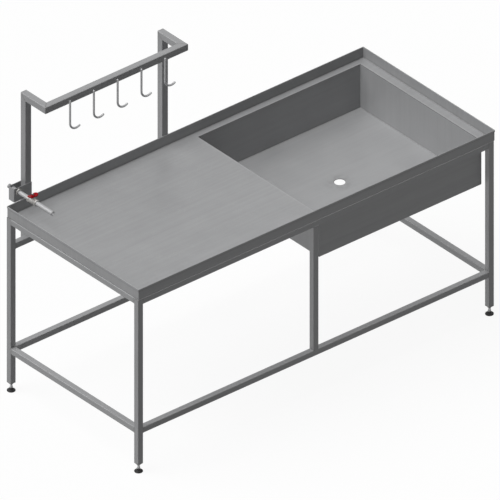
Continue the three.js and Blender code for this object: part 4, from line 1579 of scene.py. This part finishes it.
# %% Stem nut
STEM_TIP = 2.5 * MM
BLACK_DEEP = (0.02, 0.02, 0.022, 1)
BLACK_BLOOM = (0.07, 0.066, 0.064, 1)
BLACK_METALLIC = 0.35
BLACK_ROUGHNESS = 0.38
BLOOM_ROUGHNESS = 0.2
BLOOM_SCALE = 300
BLOOM_DEPTH = 0.03 * MM


def blackened_sockets(tree):
    bloom = noise(tree, place_on(tree), BLOOM_SCALE, detail=3)
    return {
        "Base Color": tree.mix(bloom, BLACK_DEEP, BLACK_BLOOM),
        "Roughness": BLACK_ROUGHNESS + BLOOM_ROUGHNESS * bloom,
        "Metallic": BLACK_METALLIC,
        "Normal": raised(tree, bloom, BLOOM_DEPTH),
    }


blackened_steel = material_of("blackened_nut_steel", blackened_sockets)
nut("stem_top_nut", "handle_nut", blackened_steel, Z, NUT_GAP, STEM_TIP)

# %% [markdown]
# ## Black moulding
# The pads and the post plugs are black moulded plastic: not quite black, with the fine grain of the mould
# and some dust. A very fine noise is the grain, and a wider one lays the dust. The shanks and their nuts
# take the bright steel again, without the polish of the hooks' rod.

# %% Black moulding and turned steel
MOULDING_BLACK = (0.007, 0.007, 0.008, 1)
MOULDING_DUSTY = (0.022, 0.021, 0.02, 1)
MOULDING_ROUGHNESS = 0.5
DUST_ROUGHNESS = 0.2
MOULDING_SHEEN = 0.35
DUST_SCALE = 70
DUST = (0.4, 0.8)
MOULD_SCALE = 1400
MOULD_DEPTH = 0.05 * MM


def plastic_sockets(tree):
    place = place_on(tree)
    mould = noise(tree, place, MOULD_SCALE, detail=2)
    dust = noise(tree, place, DUST_SCALE, detail=4)
    return {
        "Base Color": tree.mix(dust.step(*DUST), MOULDING_BLACK, MOULDING_DUSTY),
        "Roughness": MOULDING_ROUGHNESS + DUST_ROUGHNESS * dust,
        "Specular IOR Level": MOULDING_SHEEN,
        "Normal": raised(tree, mould, MOULD_DEPTH),
    }


black_moulding = material_of("black_moulding", plastic_sockets)
bright_steel = material_of("turned_bright_steel", bright_sockets(Z))
print("moulding and turned steel made")

# %% [markdown]
# ## Levelling feet
# Each leg stands on a black moulded pad. A threaded shank turns in the pad by its collar, with a hexagon
# for the wrench, and a lock nut holds it under the leg. The pad is turned from a profile with soft edges.
# The shank is one row of rings: collar, neck, hexagon and thread. Pad, shank and nut can't be one mesh: the
# pad only moves up and down, the shank also turns, and the nut stays with the leg.

# %% Foot sizes
PAD_RADIUS = 20 * MM
PAD_BOSS = 9 * MM
PAD_RIM = 5 * MM
PAD_HEIGHT = 13 * MM
PAD_EDGE = 1 * MM
PAD_RIM_ROUND = 1.5 * MM
PAD_RIM_END = 70
PAD_FILLET = 2.2 * MM
PAD_FILLET_START = 250
PAD_FILLET_STEPS = 5
PAD_FILLET_DROP = 3 * MM
PAD_MOUTH = 4.3 * MM
PAD_POCKET = 7.3 * MM
POCKET_PLAY = 0.3 * MM
COLLAR_LOW = 4 * MM
COLLAR_HIGH = 8 * MM
COLLAR_RADIUS = 7 * MM
NECK_RADIUS = 4 * MM
FOOT_FLATS = 14 * MM
FOOT_HEX_LOW = 17 * MM
FOOT_HEX_HIGH = 23 * MM
SHANK_RADIUS = 6 * MM
SHANK_PITCH = 1.75 * MM
SHANK_THREAD_DEPTH = 0.9 * MM
THREAD_TOP = 62 * MM
THREAD_END = 1 * MM
print("foot threads:", round((THREAD_TOP - FOOT_HEX_HIGH) / SHANK_PITCH, 1), "turns")


# %% Feet
def pad_profile():
    """The pad's outside from its lower face, over its rim and boss, into the pocket for the collar."""
    lower = arc(PAD_RADIUS - PAD_EDGE, PAD_EDGE, PAD_EDGE, 270, 360, SMALL_STEPS)
    rim_middle = (PAD_RADIUS - PAD_RIM_ROUND, PAD_RIM - PAD_RIM_ROUND)
    rim = arc(*rim_middle, PAD_RIM_ROUND, 0, PAD_RIM_END, SMALL_STEPS)
    fillet_middle = (PAD_BOSS + PAD_FILLET, PAD_HEIGHT - PAD_FILLET_DROP)
    foot_of_boss = arc(*fillet_middle, PAD_FILLET, PAD_FILLET_START, 180, PAD_FILLET_STEPS)
    boss = arc(PAD_BOSS - PAD_EDGE, PAD_HEIGHT - PAD_EDGE, PAD_EDGE, 0, 90, SMALL_STEPS)
    pocket_top = COLLAR_HIGH + POCKET_PLAY
    pocket = [(PAD_MOUTH, PAD_HEIGHT), (PAD_MOUTH, pocket_top)]
    pocket += [(PAD_POCKET, pocket_top), (PAD_POCKET, COLLAR_LOW - POCKET_PLAY)]
    return lower + rim + foot_of_boss + boss + pocket


def shank_rings(top):
    collar = [circle(COLLAR_RADIUS, COLLAR_LOW), circle(COLLAR_RADIUS, COLLAR_HIGH)]
    neck = [circle(NECK_RADIUS, COLLAR_HIGH), circle(NECK_RADIUS, FOOT_HEX_LOW)]
    hexagonal = hexagon_rings(FOOT_FLATS, FOOT_HEX_LOW, FOOT_HEX_HIGH)
    core = SHANK_RADIUS - SHANK_THREAD_DEPTH
    thread = thread_rings(SHANK_RADIUS, SHANK_THREAD_DEPTH, SHANK_PITCH, FOOT_HEX_HIGH, THREAD_TOP)
    return collar + neck + hexagonal + thread + [circle(core, THREAD_TOP + THREAD_END), circle(core, top)]


for foot in ("front_left", "front_right", "back_left", "back_right"):
    low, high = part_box(f"foot_pad_{foot}")
    place = Matrix.Translation(((low.x + high.x) / 2, (low.y + high.y) / 2, 0))
    pad = skin([circle(radius, height) for radius, height in pad_profile()], place=place)
    keep(f"pad_{foot}_moulding", pad, black_moulding, f"foot_pad_{foot}")
    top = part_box(f"foot_shank_{foot}")[1].z
    shank = skin(shank_rings(top), place=place)
    keep(f"shank_{foot}_threaded", shank, bright_steel, f"foot_shank_{foot}")
    nut(f"lock_nut_{foot}", f"foot_lock_nut_{foot}", bright_steel, Z, NUT_GAP, SHANK_RADIUS)

# %% [markdown]
# ## Post plugs
# Moulded plugs close the lower ends of the hook frame's posts. Each is a flange as wide as the tube, with
# a block on it that fits inside the tube. A few square rings with round corners give both at once.

# %% Post plugs
PLUG_FLANGE = 3 * MM
PLUG_BLOCK = 15.2 * MM
PLUG_CORNER = 2 * MM
PLUG_EDGE = 1 * MM
PLUG_ROUND = (0.3 * MM, 0.4 * MM)


def post_plug(side):
    low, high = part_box(f"post_plug_{side}")
    half = (high.x - low.x) / 2
    flange = low.z + PLUG_FLANGE
    inward, upward = PLUG_ROUND
    levels = [(half - PLUG_EDGE, low.z), (half - inward, low.z + upward), (half, low.z + PLUG_EDGE)]
    levels += [(half, flange), (PLUG_BLOCK, flange)]
    levels += [(PLUG_BLOCK, high.z - PLUG_EDGE), (PLUG_BLOCK - PLUG_EDGE, high.z)]
    rings = [rounded(-size, size, -size, size, PLUG_CORNER, height) for size, height in levels]
    place = Matrix.Translation(((low.x + high.x) / 2, (low.y + high.y) / 2, 0))
    keep(f"post_plug_{side}_moulding", skin(rings, place=place), black_moulding, f"post_plug_{side}")


for side in ("left", "right"):
    post_plug(side)

# %% [markdown]
# ## Pieces that stay as built
# The ball, its seats, the stem and the threaded plugs in the legs lie inside other pieces. They could be
# rebuilt too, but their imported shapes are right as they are, so they only get a finish. The seats are
# white plastic with a faint cloudiness, and the rest is steel.

# %% Inner pieces
SEAT_DARK = (0.74, 0.74, 0.71, 1)
SEAT_LIGHT = (0.84, 0.84, 0.82, 1)
SEAT_ROUGHNESS = 0.42
SEAT_CLOUD_ROUGHNESS = 0.2
SEAT_CLOUD_SCALE = 90
SEAT_CLOUD_DEPTH = 0.04 * MM


def seat_sockets(tree):
    cloud = noise(tree, place_on(tree), SEAT_CLOUD_SCALE, detail=3)
    return {
        "Base Color": tree.mix(cloud, SEAT_DARK, SEAT_LIGHT),
        "Roughness": SEAT_ROUGHNESS + SEAT_CLOUD_ROUGHNESS * cloud,
        "Normal": raised(tree, cloud, SEAT_CLOUD_DEPTH),
    }


white_seat = material_of("white_seat_plastic", seat_sockets)
finishes = {"valve_ball": bright_steel, "valve_stem": bright_steel}
finishes |= {f"valve_seat_{side}": white_seat for side in ("front", "back")}
finishes |= {node: plate_steel for node in slot_of if node.startswith("leg_plug")}
for node, material in finishes.items():
    frame["nodes"][node].data.materials.clear()
    frame["nodes"][node].data.materials.append(material)
print("nodes that stay:", sorted(finishes))

# %% [markdown]
# ## Last step
# The dressed table has to keep the imported table's size. The last cell only brings the view layer up to
# date.

# %% Update
bpy.context.view_layer.update()
